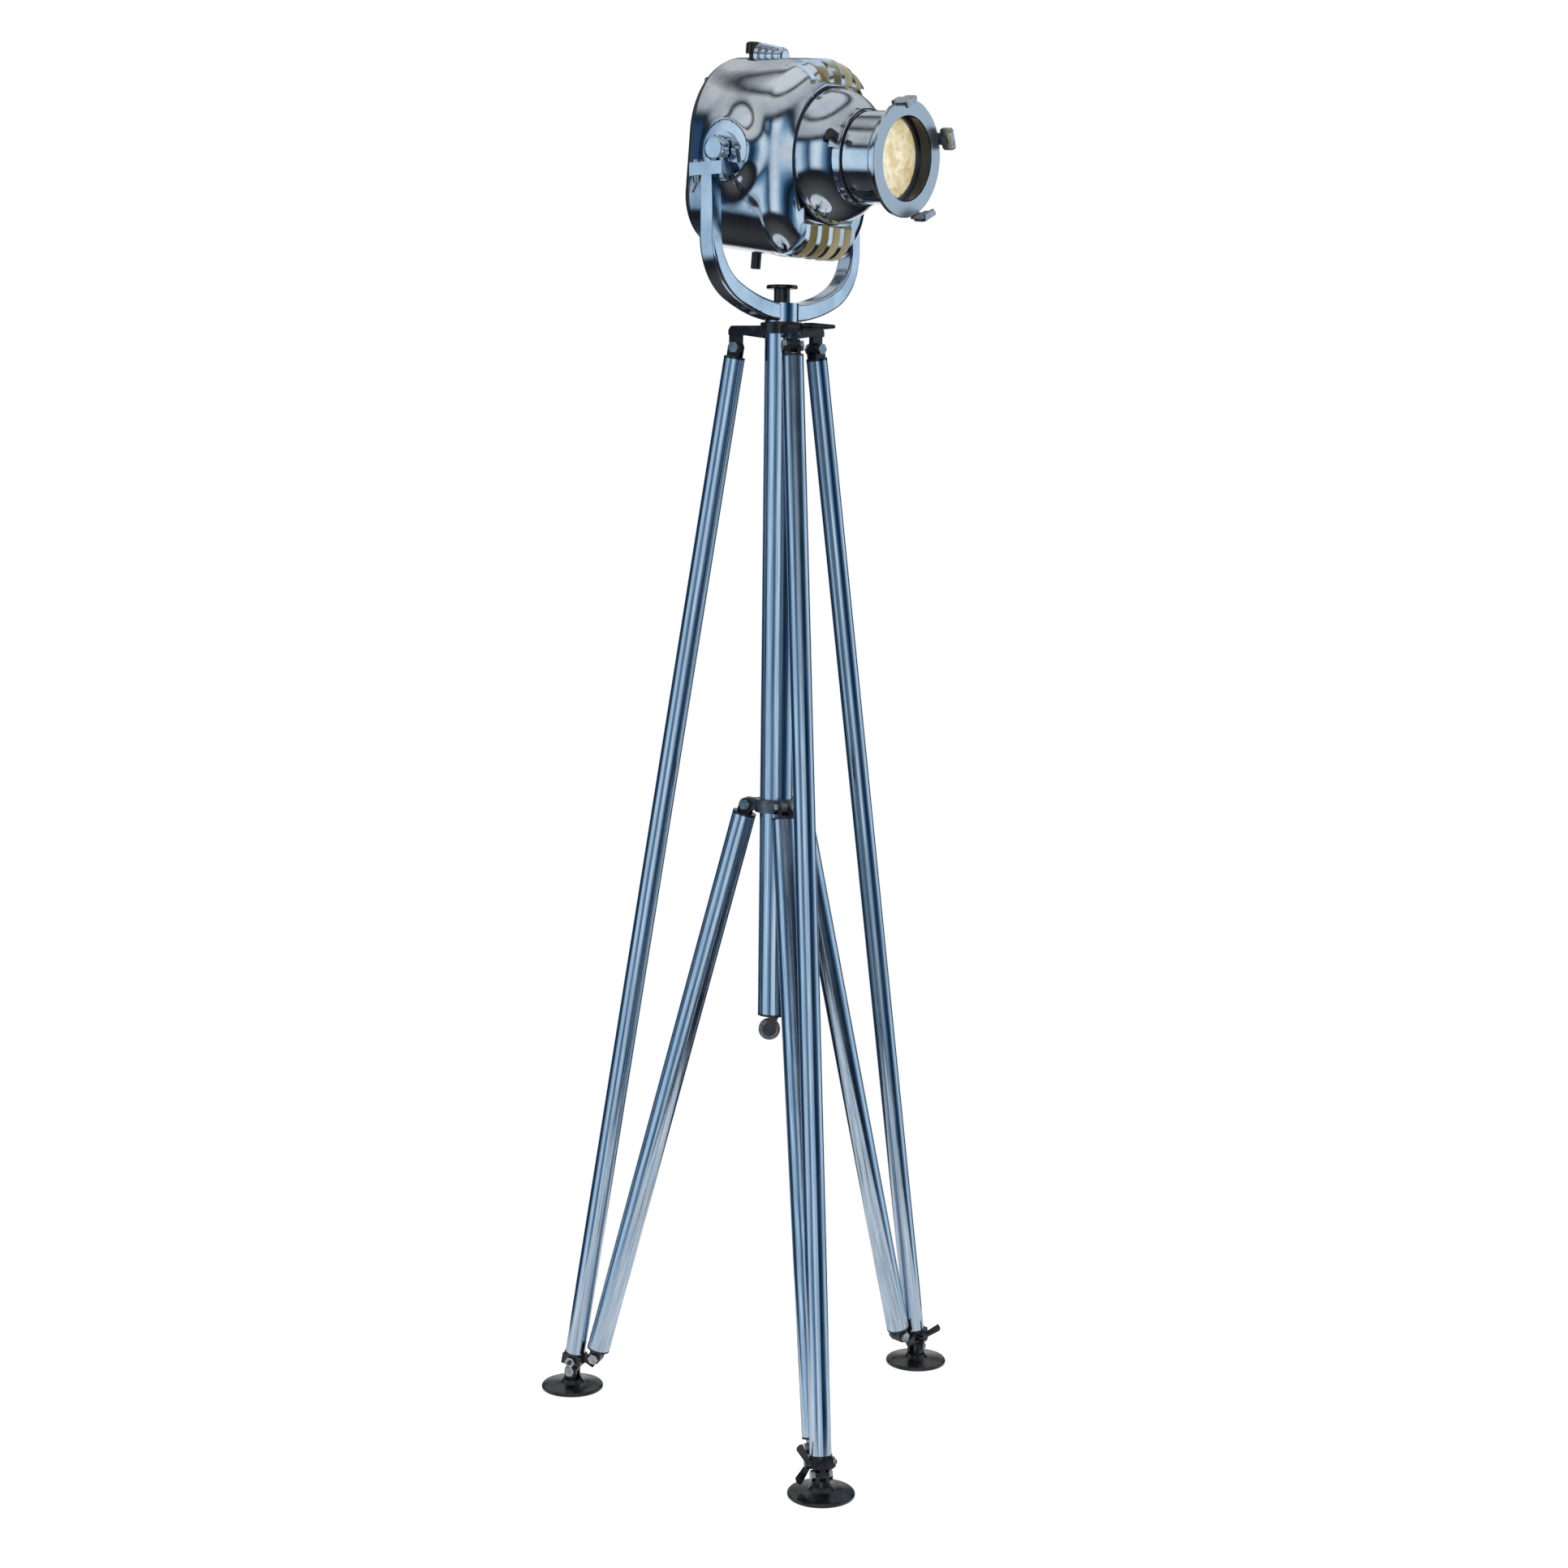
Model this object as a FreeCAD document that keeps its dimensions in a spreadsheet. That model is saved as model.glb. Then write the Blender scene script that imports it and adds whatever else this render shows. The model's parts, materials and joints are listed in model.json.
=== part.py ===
import FreeCAD, Part
import Sketcher
import math
import os
import re

from FreeCAD import Placement, Rotation, Vector

# Tripod spotlight floor lamp: a cast aluminium spot head in a yoke, on a folding
# tripod of aluminium tubes.  Millimetres and degrees, +Z up.
#
# The origin lies on the floor, in the middle of the box round the three feet.
# The azimuths are those of the photograph: -Y points at the viewer.
#
# Local frames used below:
#   leg     origin on the hub pivot, X outwards, -Z down the leg
#   brace   origin on the collar pivot, X outwards, -Z down the brace
#   foot    origin on the floor under the foot pin, X outwards
#   yoke    origin on the tilt axis, X towards the front of the head, Y along the axis
#   head    the yoke frame turned down by the tilt
#   lens    the head frame raised so that X is the lens axis

os.makedirs("parts", exist_ok=True)
doc = FreeCAD.newDocument("tripod_spotlight")

X_AXIS = Vector(1, 0, 0)
Y_AXIS = Vector(0, 1, 0)
Z_AXIS = Vector(0, 0, 1)


# ---------------------------------------------------------------- driving sizes

SIZES = {
    # shared fits
    "fit_gap": 0.05,
    "slide_gap": 0.1,
    "face_gap": 0.3,
    "open_gap": 2.0,
    # tripod as a whole
    "front_azimuth": -76.8,
    "leg_spread": 9.15,
    "leg_reach": 1435,
    "hub_pivot_radius": 62,
    "collar_pivot_radius": 41,
    "brace_length": 822,
    # tubes
    "mast_diameter": 44,
    "mast_wall": 2,
    "mast_length": 904,
    "leg_diameter": 28,
    "leg_wall": 2,
    "brace_diameter": 32,
    "brace_wall": 2,
    # forks, tongues and their bolts
    "pivot_diameter": 8,
    "tongue_thickness": 8,
    "knuckle_radius": 8.5,
    "cheek_thickness": 4.5,
    "fork_reach": 12,
    "cap_thickness": 3,
    "plug_depth": 30,
    "bolt_head": 5,
    "bolt_head_radius": 7.5,
    # hub
    "hub_drop": 32,
    "hub_diameter": 56,
    "hub_height": 15,
    "hub_web": 11,
    "arm_top_drop": 4,
    "arm_thickness": 12,
    "arm_width": 15,
    "lock_radius": 5.2,
    "lock_tip_radius": 2.6,
    "lock_length": 42,
    "lock_screw_diameter": 6,
    # collar
    "collar_diameter": 57,
    "collar_height": 17,
    "collar_ear_width": 20,
    # foot bracket and foot
    "foot_neck": 26,
    "bracket_rise": 27,
    "bracket_offset": 31.6,
    "bracket_width": 26,
    "bracket_depth": 28,
    "bracket_drop": 10,
    "foot_diameter": 86,
    "foot_thickness": 5,
    "foot_crown": 3,
    "foot_boss_diameter": 26,
    "foot_boss_height": 13,
    "foot_pin_height": 26,
    "wing_screw_rise": 15.5,
    "wing_screw_diameter": 6,
    # wing screws and nuts
    "wing_base_radius": 7,
    "wing_base_length": 8,
    "wing_span": 27,
    "clamp_wing_span": 11,
    "wing_thickness": 4,
    "wing_reach": 19,
    # castor under the mast
    "castor_radius": 14.5,
    "castor_width": 9,
    "castor_hub_radius": 9,
    "castor_trail": 6,
    "castor_drop": 20,
    "castor_plate": 3,
    "castor_cheek": 2.5,
    "castor_axle_diameter": 5,
    "castor_stem_diameter": 6,
    "end_plug_flange": 3,
    "end_plug_depth": 18,
    # yoke
    "pan_angle": -37.6,
    "tilt_angle": 5,
    "pivot_rise": 207.5,
    "yoke_half_width": 157,
    "yoke_arm_thickness": 18,
    "yoke_base_thickness": 24,
    "yoke_depth": 25,
    "yoke_top_depth": 16,
    "yoke_taper_length": 100,
    "yoke_base_arc": 260,
    "yoke_corner_arc": 85,
    "yoke_edge": 4.5,
    "yoke_boss_diameter": 44,
    "spigot_diameter": 20,
    "spigot_length": 46,
    "pan_knob_diameter": 41,
    "pan_knob_thickness": 5,
    "pan_stem_diameter": 21,
    "pan_stem_length": 18,
    "pan_screw_diameter": 8,
    # trunnions
    "eye_radius": 22,
    "eye_thickness": 10,
    "shelf_length": 52,
    "shelf_width": 22,
    "shelf_thickness": 8,
    "shelf_drop": 18,
    "clamp_bolt_diameter": 6,
    "clamp_bolt_offset": 21,
    "stud_diameter": 12,
    "stud_depth": 12,
    "washer_radius": 22,
    "washer_thickness": 2,
    "tilt_knob_radius": 17,
    "tilt_knob_thickness": 16,
    # lamp house
    "house_half_width": 100,
    "house_half_height": 126,
    "house_front": 80,
    "house_rear": 72,
    "house_round": 34,
    "house_wall": 4,
    "house_foot_round": 68,
    "floor_rise": 9,
    "lens_rise": 6,
    "barrel_radius": 104,
    "barrel_run": 58,
    "barrel_fade": 8,
    "neck_radius": 84.5,
    "neck_proud": 2,
    "neck_bore": 66,
    "seam_bevel": 1.5,
    "boss_root_radius": 50,
    "boss_face_radius": 38,
    "boss_face": 116,
    "vent_count": 4,
    "vent_pitch": 24,
    "vent_rib": 8,
    "vent_start": 36,
    "vent_margin": 4,
    "rib_proud": 6,
    "rib_round": 30,
    # rear cover
    "cover_depth": 10,
    "cover_inset": 1,
    "cover_round": 8.5,
    "cover_wall": 3,
    "cover_tab_length": 24,
    "cover_tab_width": 30,
    # nose and lens tube
    "nose_length": 52,
    "nose_rim": 4,
    "nose_arc": 46,
    "nose_end_radius": 61,
    "nose_end_length": 11,
    "lens_tube_radius": 57.5,
    "lens_tube_wall": 3.5,
    "lens_tube_rear": 100,
    "flange_front": 195,
    "flange_thickness": 4.5,
    "flange_radius": 72,
    "flange_bore": 51.5,
    "groove_place": 176,
    "groove_width": 3,
    "groove_depth": 1.5,
    "ledge_bore": 50,
    "ledge_front": 176,
    "ledge_thickness": 4,
    "lens_edge": 7,
    "lens_crown": 5,
    "lens_ring_width": 5,
    "focus_angle": 74,
    "focus_place": 127,
    "focus_lug_length": 26,
    "focus_lug_width": 12,
    "focus_lug_height": 6,
    "focus_knob_radius": 7,
    "focus_knob_length": 12,
    # colour frame clips on the flange
    "clip_angle": 25,
    "clip_width": 28,
    "clip_neck_width": 15,
    "clip_neck_length": 7,
    "clip_pad_length": 14,
    "clip_thickness": 4,
    "clip_corner": 4,
    "clip_lip": 4,
    # roof cap, roof screw and gland
    "roof_cap_radius": 16,
    "roof_cap_sink": 3,
    "roof_cap_front": -10,
    "roof_fin_length": 6,
    "roof_fin_gap": 4,
    "roof_fin_depth": 6,
    "roof_fin_count": 3,
    "roof_fin_step": 1.6,
    "roof_block_length": 10,
    "roof_knob_place": 62,
    "roof_knob_radius": 11,
    "roof_knob_thickness": 15,
    "roof_knob_neck": 5,
    "roof_screw_diameter": 7,
    "gland_place": 32,
    "gland_diameter": 13,
    "gland_length": 15,
    "gland_bore": 7,
    "gland_neck_diameter": 10,
    # lamp, holder and reflector
    "holder_radius": 19,
    "holder_height": 62,
    "bulb_cap_radius": 13,
    "bulb_cap_length": 26,
    "bulb_radius": 28,
    "bulb_rise": 50,
    "bulb_wall": 1.2,
    "reflector_radius": 60,
    "reflector_depth": 18,
    "reflector_wall": 1.5,
    "reflector_stem_radius": 8,
}

# Sizes that follow from the driving ones, as formulas in the same sheet.
DERIVED = {
    "foot_radius": "hub_pivot_radius + leg_reach * sin(leg_spread)",
    "hub_pivot_height": "foot_pin_height + leg_reach * cos(leg_spread)",
    "hub_top": "hub_pivot_height + hub_drop",
    "pivot_height": "hub_top + pivot_rise",
    "bracket_along": "leg_reach - bracket_rise",
    "brace_foot_radius": "hub_pivot_radius + bracket_along * sin(leg_spread)"
                         " - bracket_offset * cos(leg_spread)",
    "brace_foot_height": "hub_pivot_height - bracket_along * cos(leg_spread)"
                         " - bracket_offset * sin(leg_spread)",
    "brace_tilt": "asin((brace_foot_radius - collar_pivot_radius) / brace_length)",
    "collar_pivot_height": "brace_foot_height + brace_length * cos(brace_tilt)",
    "mast_top": "hub_top - hub_web",
    "mast_bottom": "mast_top - mast_length",
    "yoke_drop": "pivot_rise - face_gap",
    "yoke_inner_half": "yoke_half_width - yoke_arm_thickness",
    "yoke_inner_base_arc": "yoke_base_arc - yoke_base_thickness",
    "yoke_inner_corner_arc": "yoke_corner_arc - yoke_arm_thickness",
    "yoke_arc_centre": "yoke_base_arc - yoke_drop",
    "yoke_outer_ratio": "yoke_base_arc / (yoke_base_arc - yoke_corner_arc)",
    "yoke_outer_corner_y": "yoke_half_width - yoke_corner_arc",
    "yoke_outer_corner_z": "yoke_arc_centre - sqrt((yoke_base_arc - yoke_corner_arc) ^ 2"
                           " - yoke_outer_corner_y ^ 2)",
    "yoke_inner_ratio": "yoke_inner_base_arc / (yoke_inner_base_arc - yoke_inner_corner_arc)",
    "yoke_inner_corner_y": "yoke_inner_half - yoke_inner_corner_arc",
    "yoke_inner_corner_z": "yoke_arc_centre - sqrt((yoke_inner_base_arc"
                           " - yoke_inner_corner_arc) ^ 2 - yoke_inner_corner_y ^ 2)",
    "shelf_base": "shelf_drop + shelf_thickness",
    "arm_top": "shelf_base + shelf_thickness",
    "eye_inner": "boss_face + washer_thickness",
    "arm_middle": "yoke_half_width - yoke_arm_thickness / 2",
    "house_offset": "house_half_height - house_half_width",
    "neck_face": "house_front + neck_proud",
    "barrel_rear_arc": "(barrel_run ^ 2 + barrel_fade ^ 2) / (2 * barrel_fade)",
    "barrel_arc": "(neck_face ^ 2 + (barrel_radius - neck_radius) ^ 2)"
                  " / (2 * (barrel_radius - neck_radius))",
    "cover_back": "house_rear + cover_depth",
    "nose_end": "neck_face + nose_length",
    "flange_back": "flange_front - flange_thickness",
    "ledge_back": "ledge_front - ledge_thickness",
    "lens_back": "ledge_back - lens_edge",
    "lens_arc": "(ledge_bore ^ 2 + lens_crown ^ 2) / (2 * lens_crown)",
    "holder_base": "house_half_height - house_wall",
}

sizes = doc.addObject("Spreadsheet::Sheet", "sizes")


def fill_sheet():
    row = 1
    for name, number in SIZES.items():
        sizes.set(f"A{row}", name)
        sizes.set(f"B{row}", str(number))
        sizes.setAlias(f"B{row}", name)
        row += 1
    for name, formula in DERIVED.items():
        sizes.set(f"A{row}", name)
        sizes.set(f"B{row}", "=" + formula)
        sizes.setAlias(f"B{row}", name)
        row += 1


fill_sheet()
doc.recompute()

ALIASES = set(SIZES) | set(DERIVED)


def cells(text):
    """Point every size named in an expression at its cell."""
    return re.sub(r"[a-z][a-z_]*", lambda m: "sizes." + m.group() if m.group() in ALIASES
                  else m.group(), str(text))


def value(text):
    return float(sizes.evalExpression(cells(text)))


# ------------------------------------------------------------ modelling helpers

def new_body(name):
    body = doc.addObject("PartDesign::Body", name)
    body.Label = name
    return body


def sketch_on(body, role, away="0"):
    """Empty sketch on one of the body's origin planes, moved along its normal."""
    sketch = body.newObject("Sketcher::SketchObject", body.Name + "_sketch")
    plane = next(item for item in body.Origin.OriginFeatures if item.Role == role)
    sketch.AttachmentSupport = [(plane, "")]
    sketch.MapMode = "FlatFace"
    sketch.setExpression("AttachmentOffset.Base.z", cells(away))
    return sketch


def pin_point(sketch, edge, end, x_text, y_text):
    """Hold one end of an edge at a distance from the sketch's origin."""
    for kind, text in (("DistanceX", x_text), ("DistanceY", y_text)):
        held = Sketcher.Constraint(kind, -1, 1, edge, end, value(text))
        index = sketch.addConstraint(held)
        sketch.setExpression(f"Constraints[{index}]", cells(text))


def arc_between(start, finish, radius, turn):
    """Arc of under a half circle that turns left or right on its way to the finish."""
    chord = finish - start
    middle = (start + finish) * 0.5
    height = math.sqrt(max(radius ** 2 - (chord.Length / 2) ** 2, 0))
    normal = Vector(-chord.y, chord.x, 0).normalize()
    centre = middle + normal * (height if turn == "left" else -height)
    first, last = (start, finish) if turn == "left" else (finish, start)
    angles = [math.atan2(p.y - centre.y, p.x - centre.x) for p in (first, last)]
    if angles[1] < angles[0]:
        angles[1] += 2 * math.pi
    return Part.ArcOfCircle(Part.Circle(centre, Z_AXIS, radius), angles[0], angles[1])


def outline(sketch, corners):
    """Closed outline through the corners.  A corner is (x, y), or (x, y, radius, turn)
    where the edge that arrives at it is an arc."""
    points = [Vector(value(corner[0]), value(corner[1]), 0) for corner in corners]
    edges = []
    for index, corner in enumerate(corners):
        start = points[index - 1]
        finish = points[index]
        if len(corner) == 2:
            edge = sketch.addGeometry(Part.LineSegment(start, finish))
            edges.append((edge, 1, 2))
        else:
            radius, turn = corner[2], corner[3]
            edge = sketch.addGeometry(arc_between(start, finish, value(radius), turn))
            edges.append((edge, 1, 2) if turn == "left" else (edge, 2, 1))
            index_of_radius = sketch.addConstraint(
                Sketcher.Constraint("Radius", edge, value(radius)))
            sketch.setExpression(f"Constraints[{index_of_radius}]", cells(radius))
    for index, corner in enumerate(corners):
        edge, _, end = edges[index]
        following, start, _ = edges[(index + 1) % len(edges)]
        sketch.addConstraint(Sketcher.Constraint("Coincident", edge, end, following, start))
        pin_point(sketch, edge, end, corner[0], corner[1])


def circle(sketch, radius, x_text="0", y_text="0"):
    centre = Vector(value(x_text), value(y_text), 0)
    edge = sketch.addGeometry(Part.Circle(centre, Z_AXIS, value(radius)))
    index = sketch.addConstraint(Sketcher.Constraint("Radius", edge, value(radius)))
    sketch.setExpression(f"Constraints[{index}]", cells(radius))
    pin_point(sketch, edge, 3, x_text, y_text)


def rectangle(sketch, left, low, right, high):
    outline(sketch, [(left, low), (right, low), (right, high), (left, high)])


def pad(body, sketch, length, midplane=False, backwards=False):
    feature = body.newObject("PartDesign::Pad", body.Name + "_pad")
    feature.Profile = sketch
    feature.setExpression("Length", cells(length))
    feature.Midplane = midplane
    feature.Reversed = backwards
    return feature


def pocket(body, sketch, depth=None, midplane=False, backwards=False):
    """Cut a sketch into the body, to a depth or, without one, right through."""
    feature = body.newObject("PartDesign::Pocket", body.Name + "_pocket")
    feature.Profile = sketch
    if depth is None:
        feature.Type = "ThroughAll"
    else:
        feature.setExpression("Length", cells(depth))
    feature.Midplane = midplane
    feature.Reversed = backwards
    return feature


def revolve(body, sketch, axis):
    feature = body.newObject("PartDesign::Revolution", body.Name + "_turned")
    feature.Profile = sketch
    feature.ReferenceAxis = (sketch, [axis])
    feature.Angle = 360
    return feature


def turned_about_z(body, corners):
    """Turned form: corners are (radius, height)."""
    sketch = sketch_on(body, "XZ_Plane")
    outline(sketch, corners)
    return revolve(body, sketch, "V_Axis")


def turned_about_x(body, corners):
    """Turned form: corners are (place along X, radius)."""
    sketch = sketch_on(body, "XZ_Plane")
    outline(sketch, corners)
    return revolve(body, sketch, "H_Axis")


def repeat_round(body, feature, axis_role, count, angle=360):
    pattern = body.newObject("PartDesign::PolarPattern", body.Name + "_round")
    pattern.Originals = [feature]
    axis = next(item for item in body.Origin.OriginFeatures if item.Role == axis_role)
    pattern.Axis = (axis, [""])
    pattern.Angle = angle
    pattern.Occurrences = count
    body.Tip = pattern
    return pattern


def fillet_edges(body, feature, radius, wanted):
    """Round the feature's edges that pass the test."""
    doc.recompute()
    names = [f"Edge{index + 1}" for index, edge in enumerate(feature.Shape.Edges)
             if wanted(edge)]
    rounded = body.newObject("PartDesign::Fillet", body.Name + "_fillet")
    rounded.Base = (feature, names)
    rounded.setExpression("Radius", cells(radius))
    return rounded


def cylinder(name, radius, height, place=None):
    part = doc.addObject("Part::Cylinder", name)
    part.setExpression("Radius", cells(radius))
    part.setExpression("Height", cells(height))
    part.Placement = place or Placement()
    return part


def hexagon(name, radius, height, place=None):
    part = doc.addObject("Part::Prism", name)
    part.Polygon = 6
    part.setExpression("Circumradius", cells(radius))
    part.setExpression("Height", cells(height))
    part.Placement = place or Placement()
    return part


def box(name, length, width, height, place=None):
    part = doc.addObject("Part::Box", name)
    part.setExpression("Length", cells(length))
    part.setExpression("Width", cells(width))
    part.setExpression("Height", cells(height))
    part.Placement = place or Placement()
    return part


def fuse(name, pieces):
    part = doc.addObject("Part::MultiFuse", name)
    part.Shapes = pieces
    part.Refine = True
    return part


def cut(name, base, tool):
    part = doc.addObject("Part::Cut", name)
    part.Base = base
    part.Tool = tool
    return part


def common(name, pieces):
    part = doc.addObject("Part::MultiCommon", name)
    part.Shapes = pieces
    return part


def group(name, pieces):
    """Like fasteners of one body, kept as separate solids under one name."""
    part = doc.addObject("Part::Compound", name)
    part.Links = pieces
    return part


def at(x=0.0, y=0.0, z=0.0, axis=Z_AXIS, angle=0.0):
    return Placement(Vector(x, y, z), Rotation(axis, angle))


NODES = []


def keep(part, name, place=None):
    """Name a finished piece and set it in its place."""
    part.Label = name
    if place is not None:
        part.Placement = place
    NODES.append(part)


# ------------------------------------------------------------------- the frames

LEGS = {
    "front": value("front_azimuth"),
    "right": value("front_azimuth + 120"),
    "left": value("front_azimuth - 120"),
}


# How far each wing screw happens to be turned up from pointing outwards.
WING_TURNS = {"front": 75, "right": 25, "left": 35}


def middle_of_feet(direction):
    """Distance of the middle of the three feet from the mast, along X or Y."""
    reach = [value("foot_radius") * direction(math.radians(angle)) for angle in LEGS.values()]
    return (max(reach) + min(reach)) / 2


MAST = at(-middle_of_feet(math.cos), -middle_of_feet(math.sin))


def outwards(azimuth):
    return MAST * at(axis=Z_AXIS, angle=azimuth)


def hanging_frame(azimuth, radius, height, tilt):
    """Frame on a pivot whose -Z axis leans outwards by the tilt."""
    return outwards(azimuth) * at(x=value(radius), z=value(height)) * at(
        axis=Y_AXIS, angle=-value(tilt))


def leg_frame(azimuth):
    return hanging_frame(azimuth, "hub_pivot_radius", "hub_pivot_height", "leg_spread")


def brace_frame(azimuth):
    return hanging_frame(azimuth, "collar_pivot_radius", "collar_pivot_height", "brace_tilt")


def foot_frame(azimuth):
    return outwards(azimuth) * at(x=value("foot_radius"))


YOKE = MAST * at(z=value("pivot_height")) * at(axis=Z_AXIS, angle=value("pan_angle"))
HEAD = YOKE * at(axis=Y_AXIS, angle=value("tilt_angle"))
LENS = HEAD * at(z=value("lens_rise"))


# --------------------------------------------------------------- shared pieces

def tube(name, diameter, wall, length):
    """Open tube that hangs down from its own origin."""
    body = new_body(name)
    sketch = sketch_on(body, "XY_Plane")
    circle(sketch, f"{diameter} / 2")
    circle(sketch, f"{diameter} / 2 - {wall}")
    pad(body, sketch, length, backwards=True)
    return body


def fork(name, diameter, wall, bore_gap):
    """Cast end of a tube: a plug, a cap and two cheeks round a pivot at the origin.
    The tube hangs down from it."""
    body = new_body(name)
    turned_about_z(body, [
        ("0", "-fork_reach"),
        (f"{diameter} / 2", "-fork_reach"),
        (f"{diameter} / 2", "-fork_reach - cap_thickness"),
        (f"{diameter} / 2 - {wall} - fit_gap", "-fork_reach - cap_thickness"),
        (f"{diameter} / 2 - {wall} - fit_gap", "-fork_reach - plug_depth"),
        ("0", "-fork_reach - plug_depth"),
    ])
    cheeks = sketch_on(body, "XZ_Plane")
    outline(cheeks, [
        ("-knuckle_radius", "0", "knuckle_radius", "left"),
        ("-knuckle_radius", "-fork_reach - cap_thickness / 2"),
        ("knuckle_radius", "-fork_reach - cap_thickness / 2"),
        ("knuckle_radius", "0"),
        ("0", "knuckle_radius", "knuckle_radius", "left"),
    ])
    pad(body, cheeks, "tongue_thickness + 2 * face_gap + 2 * cheek_thickness", midplane=True)
    slot = sketch_on(body, "XZ_Plane")
    rectangle(slot, f"-{diameter}", "-fork_reach", f"{diameter}", "2 * knuckle_radius")
    pocket(body, slot, "tongue_thickness + 2 * face_gap", midplane=True)
    bore = sketch_on(body, "XZ_Plane")
    circle(bore, f"pivot_diameter / 2 + {bore_gap}")
    pocket(body, bore, midplane=True)
    return body


def pivot_bolt(name, place):
    """Bolt across a fork, with its head on one side and its nut on the other."""
    half = "tongue_thickness / 2 + face_gap + cheek_thickness"
    across = Rotation(X_AXIS, 90)
    head_place = Placement(Vector(0, -value(half + " + fit_gap"), 0), across)
    nut_place = Placement(Vector(0, value(half + " + fit_gap + bolt_head"), 0), across)
    shank_place = Placement(Vector(0, value(half + " + fit_gap + bolt_head"), 0), across)
    head = hexagon(name + "_head", "bolt_head_radius", "bolt_head", head_place)
    nut = hexagon(name + "_nut", "bolt_head_radius", "bolt_head", nut_place)
    shank = cylinder(name + "_shank", "pivot_diameter / 2",
                     f"2 * ({half} + fit_gap) + 1.5 * bolt_head", shank_place)
    bolt = fuse(name, [head, nut, shank])
    bolt.Placement = place
    return bolt


def lobed_knob(name, radius, thickness, neck, bore, bore_depth):
    """Six-lobed hand knob on a short neck.  Its seat is at the origin, facing -Z."""
    body = new_body(name)
    turned = turned_about_z(body, [
        ("0", "0"),
        (f"{radius} * 0.55", "0"),
        (f"{radius} * 0.55", neck),
        (f"{radius} * 0.9", neck),
        (radius, f"{neck} + {radius} * 0.1"),
        (radius, f"{thickness} - {radius} * 0.22"),
        (f"{radius} * 0.72", thickness, f"{radius} * 0.45", "left"),
        ("0", thickness),
    ])
    scallop = sketch_on(body, "XY_Plane", neck)
    circle(scallop, f"{radius} * 0.3", f"{radius} * 1.12")
    notch = pocket(body, scallop, f"{thickness}", backwards=True)
    repeat_round(body, notch, "Z_Axis", 6)
    hole = sketch_on(body, "XY_Plane")
    circle(hole, bore)
    pocket(body, hole, bore_depth, backwards=True)
    return body


def wing(name, span, screw_length, screw_diameter, bore_depth="0"):
    """Wing screw or wing nut whose seat is at the origin, with its wings towards +Z.
    A screw runs down from the seat; a nut has a bore instead."""
    body = new_body(name)
    turned_about_z(body, [
        ("0", "0"),
        ("wing_base_radius", "0"),
        ("wing_base_radius * 0.75", "wing_base_length"),
        ("0", "wing_base_length"),
    ])
    tip = f"{span} * 0.28"
    ears = sketch_on(body, "XZ_Plane")
    outline(ears, [
        (f"-{span} + {tip}", "wing_reach"),
        (f"-{span}", f"wing_reach - {tip}", tip, "left"),
        ("-wing_base_radius", "wing_base_length * 0.2"),
        ("wing_base_radius", "wing_base_length * 0.2"),
        (span, f"wing_reach - {tip}"),
        (f"{span} - {tip}", "wing_reach", tip, "left"),
        ("0", "wing_base_length * 0.7"),
    ])
    pad(body, ears, "wing_thickness", midplane=True)
    if bore_depth != "0":
        hole = sketch_on(body, "XY_Plane")
        circle(hole, f"{screw_diameter} / 2 + fit_gap")
        pocket(body, hole, bore_depth, backwards=True)
    else:
        shank = sketch_on(body, "XY_Plane", "wing_base_length * 0.2")
        circle(shank, f"{screw_diameter} / 2")
        pad(body, shank, f"{screw_length} + wing_base_length * 0.2", backwards=True)
    return body


# ------------------------------------------------------------- mast and its end

def build_mast():
    mast = tube("mast_tube", "mast_diameter", "mast_wall", "mast_length")
    keep(mast, "mast_tube", MAST * at(z=value("mast_top")))

    plug = new_body("mast_end_plug")
    turned_about_z(plug, [
        ("castor_stem_diameter / 2 + fit_gap", "-end_plug_flange"),
        ("mast_diameter / 2", "-end_plug_flange"),
        ("mast_diameter / 2", "0"),
        ("mast_diameter / 2 - mast_wall - fit_gap", "0"),
        ("mast_diameter / 2 - mast_wall - fit_gap", "end_plug_depth"),
        ("castor_stem_diameter / 2 + fit_gap", "end_plug_depth"),
    ])
    keep(plug, "mast_end_plug", MAST * at(z=value("mast_bottom")))


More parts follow.
